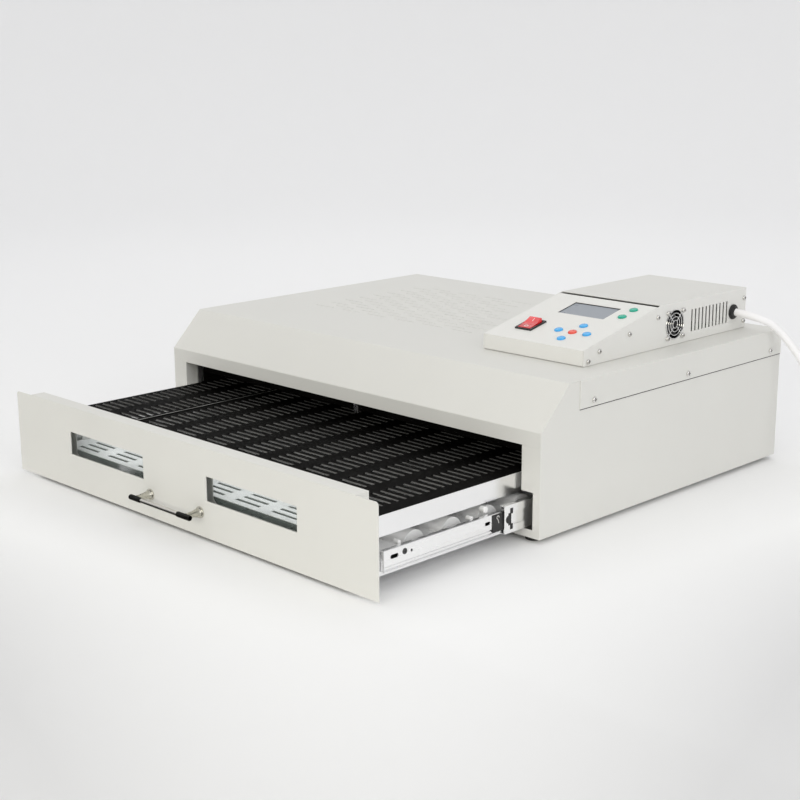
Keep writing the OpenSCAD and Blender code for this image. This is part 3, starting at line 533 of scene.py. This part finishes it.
# From the panel's own axes (x across it, y up its slope and z out of it) to the body's
SLOPE_DEGREES = math.degrees(math.atan2(BOX_RIDGE[1] - BOX_FRONT[1], BOX_RIDGE[0] - BOX_FRONT[0]))
SLOPE = shift(0, *BOX_FRONT) @ turn("X", SLOPE_DEGREES)


def facing(origin, direction):
    """Brings the z axis onto a direction, at an origin."""
    return shift(*origin) @ Vector((0, 0, 1)).rotation_difference(Vector(direction)).to_matrix().to_4x4()


def islands(name):
    """The corner points of each separate solid in a CAD node, in the body's axes."""
    bm = bmesh.new()
    bm.from_mesh(cad[name].data)
    bm.transform(PLACE.inverted() @ cad[name].matrix_world)
    bmesh.ops.remove_doubles(bm, verts=bm.verts, dist=0.001)
    found, seen = [], set()
    for start in bm.verts:
        if start in seen:
            continue
        seen.add(start)
        queue, points = [start], []
        while queue:
            vert = queue.pop()
            points.append(vert.co.copy())
            for edge in vert.link_edges:
                other = edge.other_vert(vert)
                if other not in seen:
                    seen.add(other)
                    queue.append(other)
        found.append(points)
    bm.free()
    return found


def extent(points):
    """The lowest and highest corner of some points."""
    return [Vector([pick(p[i] for p in points) for i in range(3)]) for pick in (min, max)]


SCREW_SIDES = 24
SHANK_RADIUS = 1.5
# The dome of a pan head, as shares of its radius and its height
PAN_HEAD = [(1, 0), (1, 0.35), (0.97, 0.52), (0.88, 0.74), (0.75, 0.9), (0.64, 0.97)]


def cross_ring(length, width, z):
    """A cross's outline, with as many points as a screw head's rings."""
    points = []
    for a in angles(SCREW_SIDES):
        c, s = max(abs(math.cos(a)), 1e-6), max(abs(math.sin(a)), 1e-6)
        r = max(min(length / c, width / s), min(length / s, width / c))
        points.append(Vector((r * math.cos(a), r * math.sin(a), z)))
    return points


def make_screws(name, node, body, finish=None):
    """Pan-head screws with a cross recess, one for each screw of the CAD node."""
    bm = bmesh.new()
    for points in islands(node):
        low, high = extent(points)
        size, centre = high - low, (low + high) / 2
        # Two of the three sizes are the head's diameter, and the odd one out is the length
        across = sorted(size)[1]
        axis = max(range(3), key=lambda i: abs(size[i] - across))
        radius = across / 2

        def off_axis(p):
            """How far a point is from the screw's axis."""
            return math.hypot(*[p[i] - centre[i] for i in range(3) if i != axis])

        # Only the head reaches as far out as its rim, so the rim tells which way the screw faces
        rim = [p[axis] for p in points if off_axis(p) > 0.95 * radius]
        side = 1 if sum(rim) / len(rim) > centre[axis] else -1
        seat = min(side * value for value in rim)
        height = max(side * low[axis], side * high[axis]) - seat
        shank = size[axis] - height
        direction = Vector((0, 0, 0))
        direction[axis] = side
        centre[axis] = side * seat
        rings = [ring(SHANK_RADIUS, -shank, SCREW_SIDES), ring(SHANK_RADIUS, 0, SCREW_SIDES)]
        rings += [ring(radius * r, height * z, SCREW_SIDES) for r, z in PAN_HEAD]
        rings += [cross_ring(0.58 * radius, 0.16 * radius, height),
                  cross_ring(0.5 * radius, 0.12 * radius, 0.3 * height)]
        loft(bm, rings, facing(centre, direction))
    piece(name, bm, "nickel_screw", body, [node], finish, crease=28)


EYELET_RADIUS = 2.6


def make_guard(name, node, direction, radii, gauge, pitch):
    """A wire guard: rings, and four arms with an eyelet at the end of each, at the screws' pitch."""
    low, high = body_box(node)
    centre = (low + high) / 2
    axis = direction.index(1)
    centre[axis] = low[axis]
    up = Vector((0, 0, 1))
    wire_r = 0.42 * gauge
    mid = gauge / 2
    reach = pitch / math.sqrt(2)
    bm = bmesh.new()
    for r in radii:
        wire(bm, ring(r, mid, 72), wire_r, up, closed=True)
    for k in range(4):
        a = math.radians(45 + 90 * k)
        out = Vector((math.cos(a), math.sin(a), 0))
        arm = (radii[0], (radii[0] + reach) / 2, reach - EYELET_RADIUS)
        wire(bm, [out * r + up * mid for r in arm], wire_r, up)
        wire(bm, ring(EYELET_RADIUS, mid, 28, (out * reach)[:2]), wire_r, up, closed=True)
    bm.transform(facing(centre, direction))
    piece(name, bm, "chrome_wire", "body", [node])


BLADES = 7
BLADE_RINGS = 8
BLADE_SIDES = 14


def blade_ring(radius, heading, pitch, chord, thick, depth):
    """A blade's curved section at a radius, bent round the rotor's axis and kept within its depth."""
    points = []
    for a in angles(BLADE_SIDES):
        along, across = 0.5 * chord * math.cos(a), 0.5 * thick * math.sin(a)
        across += 0.05 * chord * (1 - math.cos(a) ** 2)
        run = along * math.cos(pitch) - across * math.sin(pitch)
        rise = along * math.sin(pitch) + across * math.cos(pitch)
        rise = max(-depth / 2, min(depth / 2 - 0.2, rise))
        bearing = heading + run / radius
        points.append(Vector((radius * math.cos(bearing), radius * math.sin(bearing), depth / 2 + rise)))
    return points


def make_rotor(name, node, body, direction, hub, tip):
    """A fan rotor: a hub with a rounded rim and twisted blades."""
    low, high = body_box(node)
    centre = (low + high) / 2
    axis = direction.index(1)
    depth = (high - low)[axis]
    centre[axis] = low[axis]
    bm = bmesh.new()
    turned(bm, [(0.85 * hub, 0), (hub, 0.06 * depth), (hub, depth - 1.3), (hub - 0.4, depth - 0.5),
                (hub - 1.3, depth), (0.55 * hub, depth), (0.5 * hub, depth - 0.35), (0.02, depth - 0.35)],
           sides=48)
    thick = 0.055 * tip
    for heading in angles(BLADES):
        rings = []
        for step in range(BLADE_RINGS):
            share = step / (BLADE_RINGS - 1)
            r = hub - 0.5 + (tip - hub + 0.5) * share
            pitch = math.radians(40 - 14 * share)
            chord = min(0.86 * (depth - 1) / math.sin(pitch), 0.98 * 2 * math.pi * r / BLADES)
            rings.append(blade_ring(r, heading + 0.35 * share ** 1.5, pitch, chord, thick, depth))
        loft(bm, rings)
    bm.transform(facing(centre, direction))
    piece(name, bm, "black_plastic", body, [node], crease=50)


def make_feet():
    """Rubber feet with a rounded rim and a slightly hollow underside."""
    bm = bmesh.new()
    for points in islands("feet"):
        low, high = extent(points)
        r = (high.x - low.x) / 2
        at = (low + high) / 2
        turned(bm, [(r - 2.2, low.z + 0.3), (r - 1.9, low.z), (r - 1.2, low.z), (r - 0.6, low.z + 0.5),
                    (r - 0.1, high.z - 0.8), (r - 0.1, high.z)], shift(at.x, at.y, 0), 40)
    piece("rubber_feet", bm, "rubber_foot", "body", ["feet"])


BAR_LOW, BAR_HIGH = body_box("handle_bar")
BAR_AT = (BAR_LOW + BAR_HIGH) / 2
BAR_RADIUS = (BAR_HIGH.z - BAR_LOW.z) / 2
BAR_END = BAR_HIGH.x
ALONG_BAR = shift(0, BAR_AT.y, BAR_AT.z) @ turn("Y", 90)
GRIP_RADIUS = BAR_RADIUS + 0.3
GRIP_START = 35
GRIP_SIDES = 96
GRIP_STEP = 0.55
KNURL_LOBES = 24
KNURL_DEPTH = 0.22


def make_handle_bar():
    """A polished bar with rounded ends."""
    bm = bmesh.new()
    turned(bm, [(BAR_RADIUS - 0.7, -BAR_END), (BAR_RADIUS, 0.7 - BAR_END), (BAR_RADIUS, BAR_END - 0.7),
                (BAR_RADIUS - 0.7, BAR_END)], ALONG_BAR, 56)
    piece("polished_bar", bm, "chrome_handle", "drawer", ["handle_bar"])


def make_handle_posts():
    """Two turned posts that narrow from a round foot on the drawer's face to the bar."""
    face = body_box("drawer_front")[0].y
    reach = face - BAR_AT.y
    post_x = sum(corner.x for corner in extent(max(islands("handle_posts"), key=lambda p: p[0].x))) / 2
    foot = [(6.9, 0), (6.9, 1.3), (6.5, 1.9), (5.7, 2.3)]
    stem = [(5.2, 3.4), (4.7, 6), (4.1, 9.5), (3.6, 13), (3.3, 16), (3.15, reach - 2)]
    bm = bmesh.new()
    for x in (-post_x, post_x):
        turned(bm, foot + stem, facing((x, face, BAR_AT.z), (0, -1, 0)), 48)
    piece("turned_posts", bm, "chrome_handle", "drawer", ["handle_posts"], "satin_nickel")


def make_handle_grips():
    """Knurled sleeves over the bar's ends."""
    bm = bmesh.new()
    count = round((BAR_END - 0.2 - GRIP_START) / GRIP_STEP)
    for side in (-1, 1):
        rings = [ring(r, side * GRIP_START, GRIP_SIDES) for r in (BAR_RADIUS - 0.1, GRIP_RADIUS - 0.25)]
        for i in range(1, count):
            points = ring(1, side * (GRIP_START + i * GRIP_STEP), GRIP_SIDES)
            for a, point in zip(angles(GRIP_SIDES), points):
                wave = KNURL_LOBES / 2 * a
                cut = abs(math.sin(wave + 0.9 * i)) * abs(math.sin(wave - 0.9 * i))
                point.xy *= GRIP_RADIUS - KNURL_DEPTH + KNURL_DEPTH * cut
            rings.append(points)
        rings += [ring(GRIP_RADIUS - 0.25, side * (BAR_END - 0.2), GRIP_SIDES),
                  ring(BAR_RADIUS - 0.6, side * BAR_END, GRIP_SIDES)]
        loft(bm, rings, ALONG_BAR)
    piece("knurled_sleeves", bm, "black_grip", "drawer", ["handle_grips"], crease=60)


# The switch's middle on the sloped panel, the tilt of each half of its rocker and the rocker's size
SWITCH_AT = (181.8, 43.6)
ROCKER_TILT = 10
ROCKER_SIZE = (19.6, 25.6)
ROCKER_PLACE = SLOPE @ shift(*SWITCH_AT, -1) @ turn("X", ROCKER_TILT)
# The marks' distance from the rocker's middle and their height
MARK_Y, MARK_Z = 7.4, 4.9


def make_rocker():
    """A shallow V with rounded edges, on its pin."""
    wide, length = (size / 2 for size in ROCKER_SIZE)
    rise = length * math.tan(math.radians(ROCKER_TILT))
    outline = [(-length, 3.6 + rise), (-5, 4.5), (0, 3.75), (5, 4.5), (length, 3.6 + rise),
               (length - 1.4, 0.6), (4, -5), (-4, -5), (1.4 - length, 0.6)]
    bm = bmesh.new()
    loft(bm, [[Vector((x, y, z)) for y, z in outline] for x in (-wide, wide)], ROCKER_PLACE)
    bmesh.ops.bevel(bm, geom=bm.edges[:], offset=0.75, segments=4, profile=0.5, affect="EDGES")
    turned(bm, [(1.45, -wide - 0.7), (1.45, wide + 0.7)], ROCKER_PLACE @ turn("Y", 90), 20)
    piece("rocker_cap", bm, "rocker_red", "rocker", ["rocker"], crease=50)


def make_rocker_marks():
    """An I and an O, moulded on the rocker's halves."""
    bm = bmesh.new()
    rounded_box(bm, (-0.5, -2.6, -0.4), (0.5, 2.6, 0.1), 0.2,
                ROCKER_PLACE @ shift(0, MARK_Y, MARK_Z) @ turn("X", ROCKER_TILT), 2)
    hoop = [(2.5, -0.4), (2.5, 0.08), (2.4, 0.12), (1.8, 0.12), (1.7, 0.08), (1.7, -0.4)]
    loft(bm, [ring(r, z, 28) for r, z in hoop],
         ROCKER_PLACE @ shift(0, -MARK_Y, MARK_Z) @ turn("X", -ROCKER_TILT), closed=True)
    piece("rocker_marks", bm, "ceramic", "rocker", finish="print")


def make_button(node, slot):
    """A domed cap over its flange."""
    low, high = extent([SLOPE.inverted() @ p for p in islands(node)[0]])
    at = (low + high) / 2
    flange = (high.x - low.x) / 2
    r = flange - 1
    skirt = [(flange, low.z), (flange, low.z + 1.1), (r - 0.05, low.z + 1.2), (r - 0.05, 0.9)]
    dome = [(0.97 * r, 1.35), (0.9 * r, 1.68), (0.76 * r, 1.95), (0.55 * r, 2.14), (0.3 * r, 2.25),
            (0.02, high.z)]
    bm = bmesh.new()
    turned(bm, skirt + dome, SLOPE @ shift(at.x, at.y, 0), 48)
    piece(node.replace("button", "cap"), bm, slot, node, [node], crease=60)


# The display's opening: from side to side, and up the slope from the panel's front edge
LCD_X = (185.6, 257.2)
LCD_S = (92.2, 130)
# The dark strip of painted shade under the box's ridge, from side to side
RIDGE_SHADE_X = (144, 296.5)


def make_box_gasket_and_shade():
    """The display's dark gasket, wider at its top and right as painted shade, and dark strips of painted
    shade under the box's ridge and under the cover's side flanges.
    """
    bm = bmesh.new()
    (x0, x1), (s0, s1) = LCD_X, LCD_S
    edge = 1.0
    # The gasket's top and right strips are twice as wide as the others: painted shade from the opening's
    # edge
    for low, high in [((x0, s1 - edge), (x1, s1)), ((x0, s0), (x1, s0 + edge / 2)),
                      ((x0, s0), (x0 + edge / 2, s1)), ((x1 - edge, s0), (x1, s1))]:
        rounded_box(bm, (*low, -1.1), (*high, -0.5), 0.1, SLOPE, 1)
    # Painted shade: a dark strip in the gap under the box's ridge
    rounded_box(bm, (RIDGE_SHADE_X[0], BOX_RIDGE[0] - 10, BOX_RIDGE[1] - 6.6),
                (RIDGE_SHADE_X[1], BOX_RIDGE[0] + 11, BOX_RIDGE[1] - 3.8), 0.4)
    # Painted shadow: dark strips under the cover's side flanges
    side = body_box("side_panel_right")[1].x
    low, high = extent([p for points in islands("top_cover") for p in points if p.x > side + 0.5])
    for x0, x1 in ((side - 0.3, side + 0.5), (-side - 0.5, 0.3 - side)):
        rounded_box(bm, (x0, low.y + 0.3, low.z - 1), (x1, high.y - 0.5, low.z + 0.1), 0.1, segments=1)
    piece("box_gasket_and_painted_shade", bm, "black_plastic", "body", finish="dark_line")


HOOK_RADIUS = 1.9
HOOK_GAUGE = 0.5
# Each stud as its place along the drawer, its height and its radius
STUDS = [(-194, 40.5, 2.4), (-83, 39.5, 2.4), (-60, 44, 3.6)]
STUD_LENGTH = 8


def make_lever_hooks():
    """The small wire hook on each slide's disconnect lever, pressed flat against it."""
    low, high = body_box("slide_levers")
    middle_y, middle_z = low.y + 9, high.z - 6
    bend = [math.radians(-20 + 28 * k) for k in range(11)]
    path = [Vector((0, HOOK_RADIUS * math.cos(a), HOOK_RADIUS * (1 + math.sin(a)))) for a in bend]
    path.append(Vector((0, 0.9 * HOOK_RADIUS, -2.6 * HOOK_RADIUS)))
    bm = bmesh.new()
    for side in (-1, 1):
        start = len(bm.verts)
        wire(bm, path, HOOK_GAUGE, Vector((1, 0, 0)))
        bm.verts.ensure_lookup_table()
        for vert in bm.verts[start:]:
            vert.co.x = side * (high.x + 0.12 + 0.18 * vert.co.x)
            vert.co.y += middle_y
            vert.co.z += middle_z
    piece("lever_hooks", bm, "nickel_screw", "drawer")


def make_side_studs():
    """The pale studs that stand on the inside of the drawer's sides."""
    bm = bmesh.new()
    wall = body_box("drawer_tub")[1].x
    for y, z, r in STUDS:
        for side in (-1, 1):
            along = facing((side * (wall - 1.5), y, z), (-side, 0, 0))
            turned(bm, [(r - 0.4, 0), (r, 0.4), (r, STUD_LENGTH - 0.6), (r - 0.6, STUD_LENGTH)], along, 28)
    piece("side_studs", bm, "ceramic", "drawer", finish="ridge_white")


def make_slide_ends():
    """The plate that closes the front end of each slide's drawer member."""
    bm = bmesh.new()
    for name in ("slide_inner_left", "slide_inner_right"):
        low, high = body_box(name)
        rounded_box(bm, (low.x + 0.3, low.y + 0.8, low.z + 1.3),
                    (high.x - 0.3, low.y + 1.6, high.z - 1.3), 0.2)
    piece("slide_ends", bm, "zinc_steel", "drawer")


def make_plate_shade():
    """A thin dark sheet that stands for the dark space seen through the lower plate's slots."""
    low, high = body_box("lower_plate")
    bm = bmesh.new()
    rounded_box(bm, (low.x + 2, low.y + 2, low.z - 1.2), (high.x - 2, high.y - 2, low.z - 0.4), 0.2,
                segments=1)
    piece("plate_shade", bm, "black_plastic", "drawer", finish="dark_line")


# The tray's slots, as in the part's source: x of the first and y from the tray's front, pitch and size
TRAY_COLUMNS, TRAY_ROWS = 10, 33
TRAY_FIRST = (268, 11)
TRAY_PITCH = (61, 11.7)
TRAY_SLOT = (40, 3.4)


def make_slot_lips():
    """The turned-up lip along the rear of each of the tray's slots, coloured with a painted highlight that
    fades towards the rear.
    """
    front = body_box("solder_tray")[0].y
    top = body_box("tray_sides")[1].z + 1
    half, wide = TRAY_SLOT[0] / 2, TRAY_SLOT[1]
    bm = bmesh.new()
    for i in range(TRAY_COLUMNS):
        x = TRAY_FIRST[0] - i * TRAY_PITCH[0]
        for j in range(TRAY_ROWS):
            y = front + TRAY_FIRST[1] + j * TRAY_PITCH[1] + wide
            outline = [(y - 0.35, top - 0.9), (y - 0.25, top + 0.1), (y + 0.1, top + 0.25),
                       (y + 0.4, top - 0.1), (y + 0.4, top - 0.9)]
            loft(bm, [[Vector((at, *p)) for p in outline] for at in (x - half + 0.4, x + half - 0.4)])
    piece("slot_lips", bm, "black_enamel", "drawer", finish="slot_lip_highlight")


def make_seam_edge():
    """The edge of the rib where the tray's two sheets meet, with a painted highlight that fades towards the
    rear.
    """
    top = body_box("solder_tray")[1].z
    rib = extent([p for points in islands("solder_tray") for p in points if p.z > top - 0.1])
    bm = bmesh.new()
    rounded_box(bm, rib[0] - Vector((0.1, 0, 0.1)), rib[1] + Vector((0.1, 0, 0.2)), 0.1, segments=1)
    piece("seam_edge", bm, "black_enamel", "drawer", finish="rib_edge_highlight")


make_screws("hood_screws", "body_screws", "body")
make_screws("box_screws", "control_screws", "body")
make_screws("slide_screws", "drawer_screws", "drawer", "dark_steel")
make_guard("box_fan_guard", "cooling_fan_guard", (1, 0, 0), radii=(5, 9.5, 14, 18.4), gauge=1.4, pitch=32)
make_guard("rear_fan_guard", "exhaust_fan_guard", (0, 1, 0), radii=(8, 17, 26, 35), gauge=2, pitch=71.5)
make_rotor("box_fan_blades", "cooling_fan_rotor", "cooling_rotor", (1, 0, 0), hub=9, tip=17.6)
make_rotor("rear_fan_blades", "exhaust_fan_rotor", "exhaust_rotor", (0, 1, 0), hub=16, tip=36.5)
make_feet()
make_handle_bar()
make_handle_posts()
make_handle_grips()
make_rocker()
make_rocker_marks()
for colour in ("button_blue", "button_red", "button_green"):
    for button in FINISHES[colour]:
        make_button(button, colour)
make_box_gasket_and_shade()
make_lever_hooks()
make_side_studs()
make_slide_ends()
make_plate_shade()
make_slot_lips()
make_seam_edge()


# ---- studio ----

FLOOR_REACH = 3.0
WALL_BEND = 2.4
WALL_TOP = 5.0
WORLD_STRENGTH = 0.86
FLOOR_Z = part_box("feet")[0].z
# The share of the studio's paint, with its painted light and shade, at its middle, and what each metre
# nearer the camera, each metre up and the near corners add to it
SHARE_MIDDLE, SHARE_NEARER, SHARE_HIGHER, SHARE_CORNERS = 0.6, 0.25, -0.16, 1.5
# The paint's colours by share, from high on the wall, past the oven, to the floor nearest the camera:
# painted light round the oven and painted shade near the camera
STUDIO_LIGHT_AND_SHADE = [(0.0, (0.93, 0.93, 0.935)), (0.45, (0.95, 0.95, 0.955)), (0.74, (0.96, 0.96, 0.96)),
                 (0.89, (0.72, 0.72, 0.725))]


def studio_painted_light():
    """A pale paint with painted light and shade: brightest round the oven, a little duller on the wall and
    dullest near the camera.
    """
    made = material("studio", (0.85, 0.85, 0.855), 0.9, vary=0.0, grain=(50, 0))
    tree = made.node_tree
    x, y, z = place_parts(tree)

    def join(kind, a, b):
        """One step of arithmetic on two values, each a number or a node's output."""
        node = tree.nodes.new("ShaderNodeMath")
        node.operation = kind
        for socket, value in zip(node.inputs, (a, b)):
            if isinstance(value, (int, float)):
                socket.default_value = value
            else:
                link(tree, value, socket)
        return node.outputs["Value"]

    right, forward = join("MULTIPLY", x, 0.7), join("MULTIPLY", y, 0.7)
    nearness = join("SUBTRACT", right, forward)
    aside = join("ADD", right, forward)
    corner = join("MULTIPLY", join("POWER", join("ABSOLUTE", aside, 0), 2), join("MAXIMUM", nearness, 0))
    share = join("ADD", join("MULTIPLY", nearness, SHARE_NEARER), join("MULTIPLY", z, SHARE_HIGHER))
    share = join("ADD", join("ADD", share, join("MULTIPLY", corner, SHARE_CORNERS)), SHARE_MIDDLE)
    link(tree, ramp(tree, share, STUDIO_LIGHT_AND_SHADE), tree.nodes["Principled BSDF"].inputs["Base Color"])
    return made


def make_floor():
    """A pale floor that curves up into a wall all round."""
    profile = [(0.001, 0), (1.0, 0), (FLOOR_REACH, 0)]
    for k in range(1, 13):
        a = math.radians(7.5 * k)
        profile.append((FLOOR_REACH + WALL_BEND * math.sin(a), WALL_BEND * (1 - math.cos(a))))
    profile.append((FLOOR_REACH + WALL_BEND, WALL_TOP))
    bm = bmesh.new()
    loft(bm, [ring(r, z, 96) for r, z in profile], caps=False)
    bmesh.ops.recalc_face_normals(bm, faces=bm.faces)
    mesh = bpy.data.meshes.new("studio_floor")
    bm.to_mesh(mesh)
    bm.free()
    mesh.shade_smooth()
    mesh.materials.append(studio_painted_light())
    floor = add_object("studio_floor", mesh)
    floor.location.z = FLOOR_Z


def light_world():
    """An even white light from all round."""
    world = bpy.data.worlds.new("studio")
    world.use_nodes = True
    background = world.node_tree.nodes["Background"]
    background.inputs["Color"].default_value = (1.0, 1.0, 1.0, 1)
    background.inputs["Strength"].default_value = WORLD_STRENGTH
    bpy.context.scene.world = world


def panel_light(name, size, power, colour=(1, 1, 1)):
    """A rectangular lamp that shines along its own -z, its size in metres and its power in watts."""
    light = bpy.data.lights.new(name, "AREA")
    light.shape = "RECTANGLE"
    light.size, light.size_y = size
    light.energy = power
    light.color = colour
    return add_object(name, light)


def softbox(name, place, target, size, power, colour=(1, 1, 1)):
    """A panel light at a place, turned to a target."""
    made = panel_light(name, size, power, colour)
    made.location = place
    made.rotation_euler = (Vector(target) - Vector(place)).to_track_quat("-Z", "Y").to_euler()


STRIP_WIDTH = 0.05
STRIP_POWER = 0.1
STRIP_BACK = 45
STRIP_DROP = 3


def light_drawer():
    """A soft strip under the tray, over the lower plate's front, for what shows through the windows."""
    low, high = body_box("lower_plate")
    top = body_box("tray_sides")[1].z
    made = panel_light("drawer_light", ((high.x - low.x) * MM, STRIP_WIDTH), STRIP_POWER)
    made.parent = cad["lower_plate"]
    made.matrix_parent_inverse = made.parent.matrix_world.inverted()
    made.matrix_basis = Matrix.Translation(PLACE @ Vector((0, low.y + STRIP_BACK, top - STRIP_DROP)))


def flag(name, corners):
    """A black card that shows only in reflections."""
    mesh = bpy.data.meshes.new(name)
    mesh.from_pydata(corners, [], [(0, 1, 2, 3)])
    mesh.materials.append(MATERIALS["dark_line"])
    made = add_object(name, mesh)
    for kind in ("camera", "diffuse", "shadow", "transmission", "volume_scatter"):
        setattr(made, "visible_" + kind, False)


# The black cards: half their width, the upright one's place and top, the lying one's rear edge and height
CARD_X = 3
UPRIGHT_Y, UPRIGHT_TOP = -2.6, 3
LYING_REAR, LYING_Z = -0.39, FLOOR_Z + 0.004

make_floor()
light_world()
softbox("back_light", (-1.3, 1.5, 2.2), (-1.2, 1.4, 0), (2, 2), 7)
softbox("right_light", (3.2, -0.9, 1.6), (0, 0, 0.1), (2.6, 2.2), 28, (0.98, 0.99, 1.0))
softbox("front_light", (0.8, -2.4, 0.8), (0, 0, 0.1), (1.7, 0.9), 17, (1.0, 0.975, 0.86))
flag("front_flag", [(-CARD_X, UPRIGHT_Y, FLOOR_Z), (CARD_X, UPRIGHT_Y, FLOOR_Z),
                    (CARD_X, UPRIGHT_Y, UPRIGHT_TOP), (-CARD_X, UPRIGHT_Y, UPRIGHT_TOP)])
flag("floor_flag", [(-CARD_X, UPRIGHT_Y, LYING_Z), (CARD_X, UPRIGHT_Y, LYING_Z),
                    (CARD_X, LYING_REAR, LYING_Z), (-CARD_X, LYING_REAR, LYING_Z)])
light_drawer()
bpy.context.scene.view_settings.view_transform = "Standard"
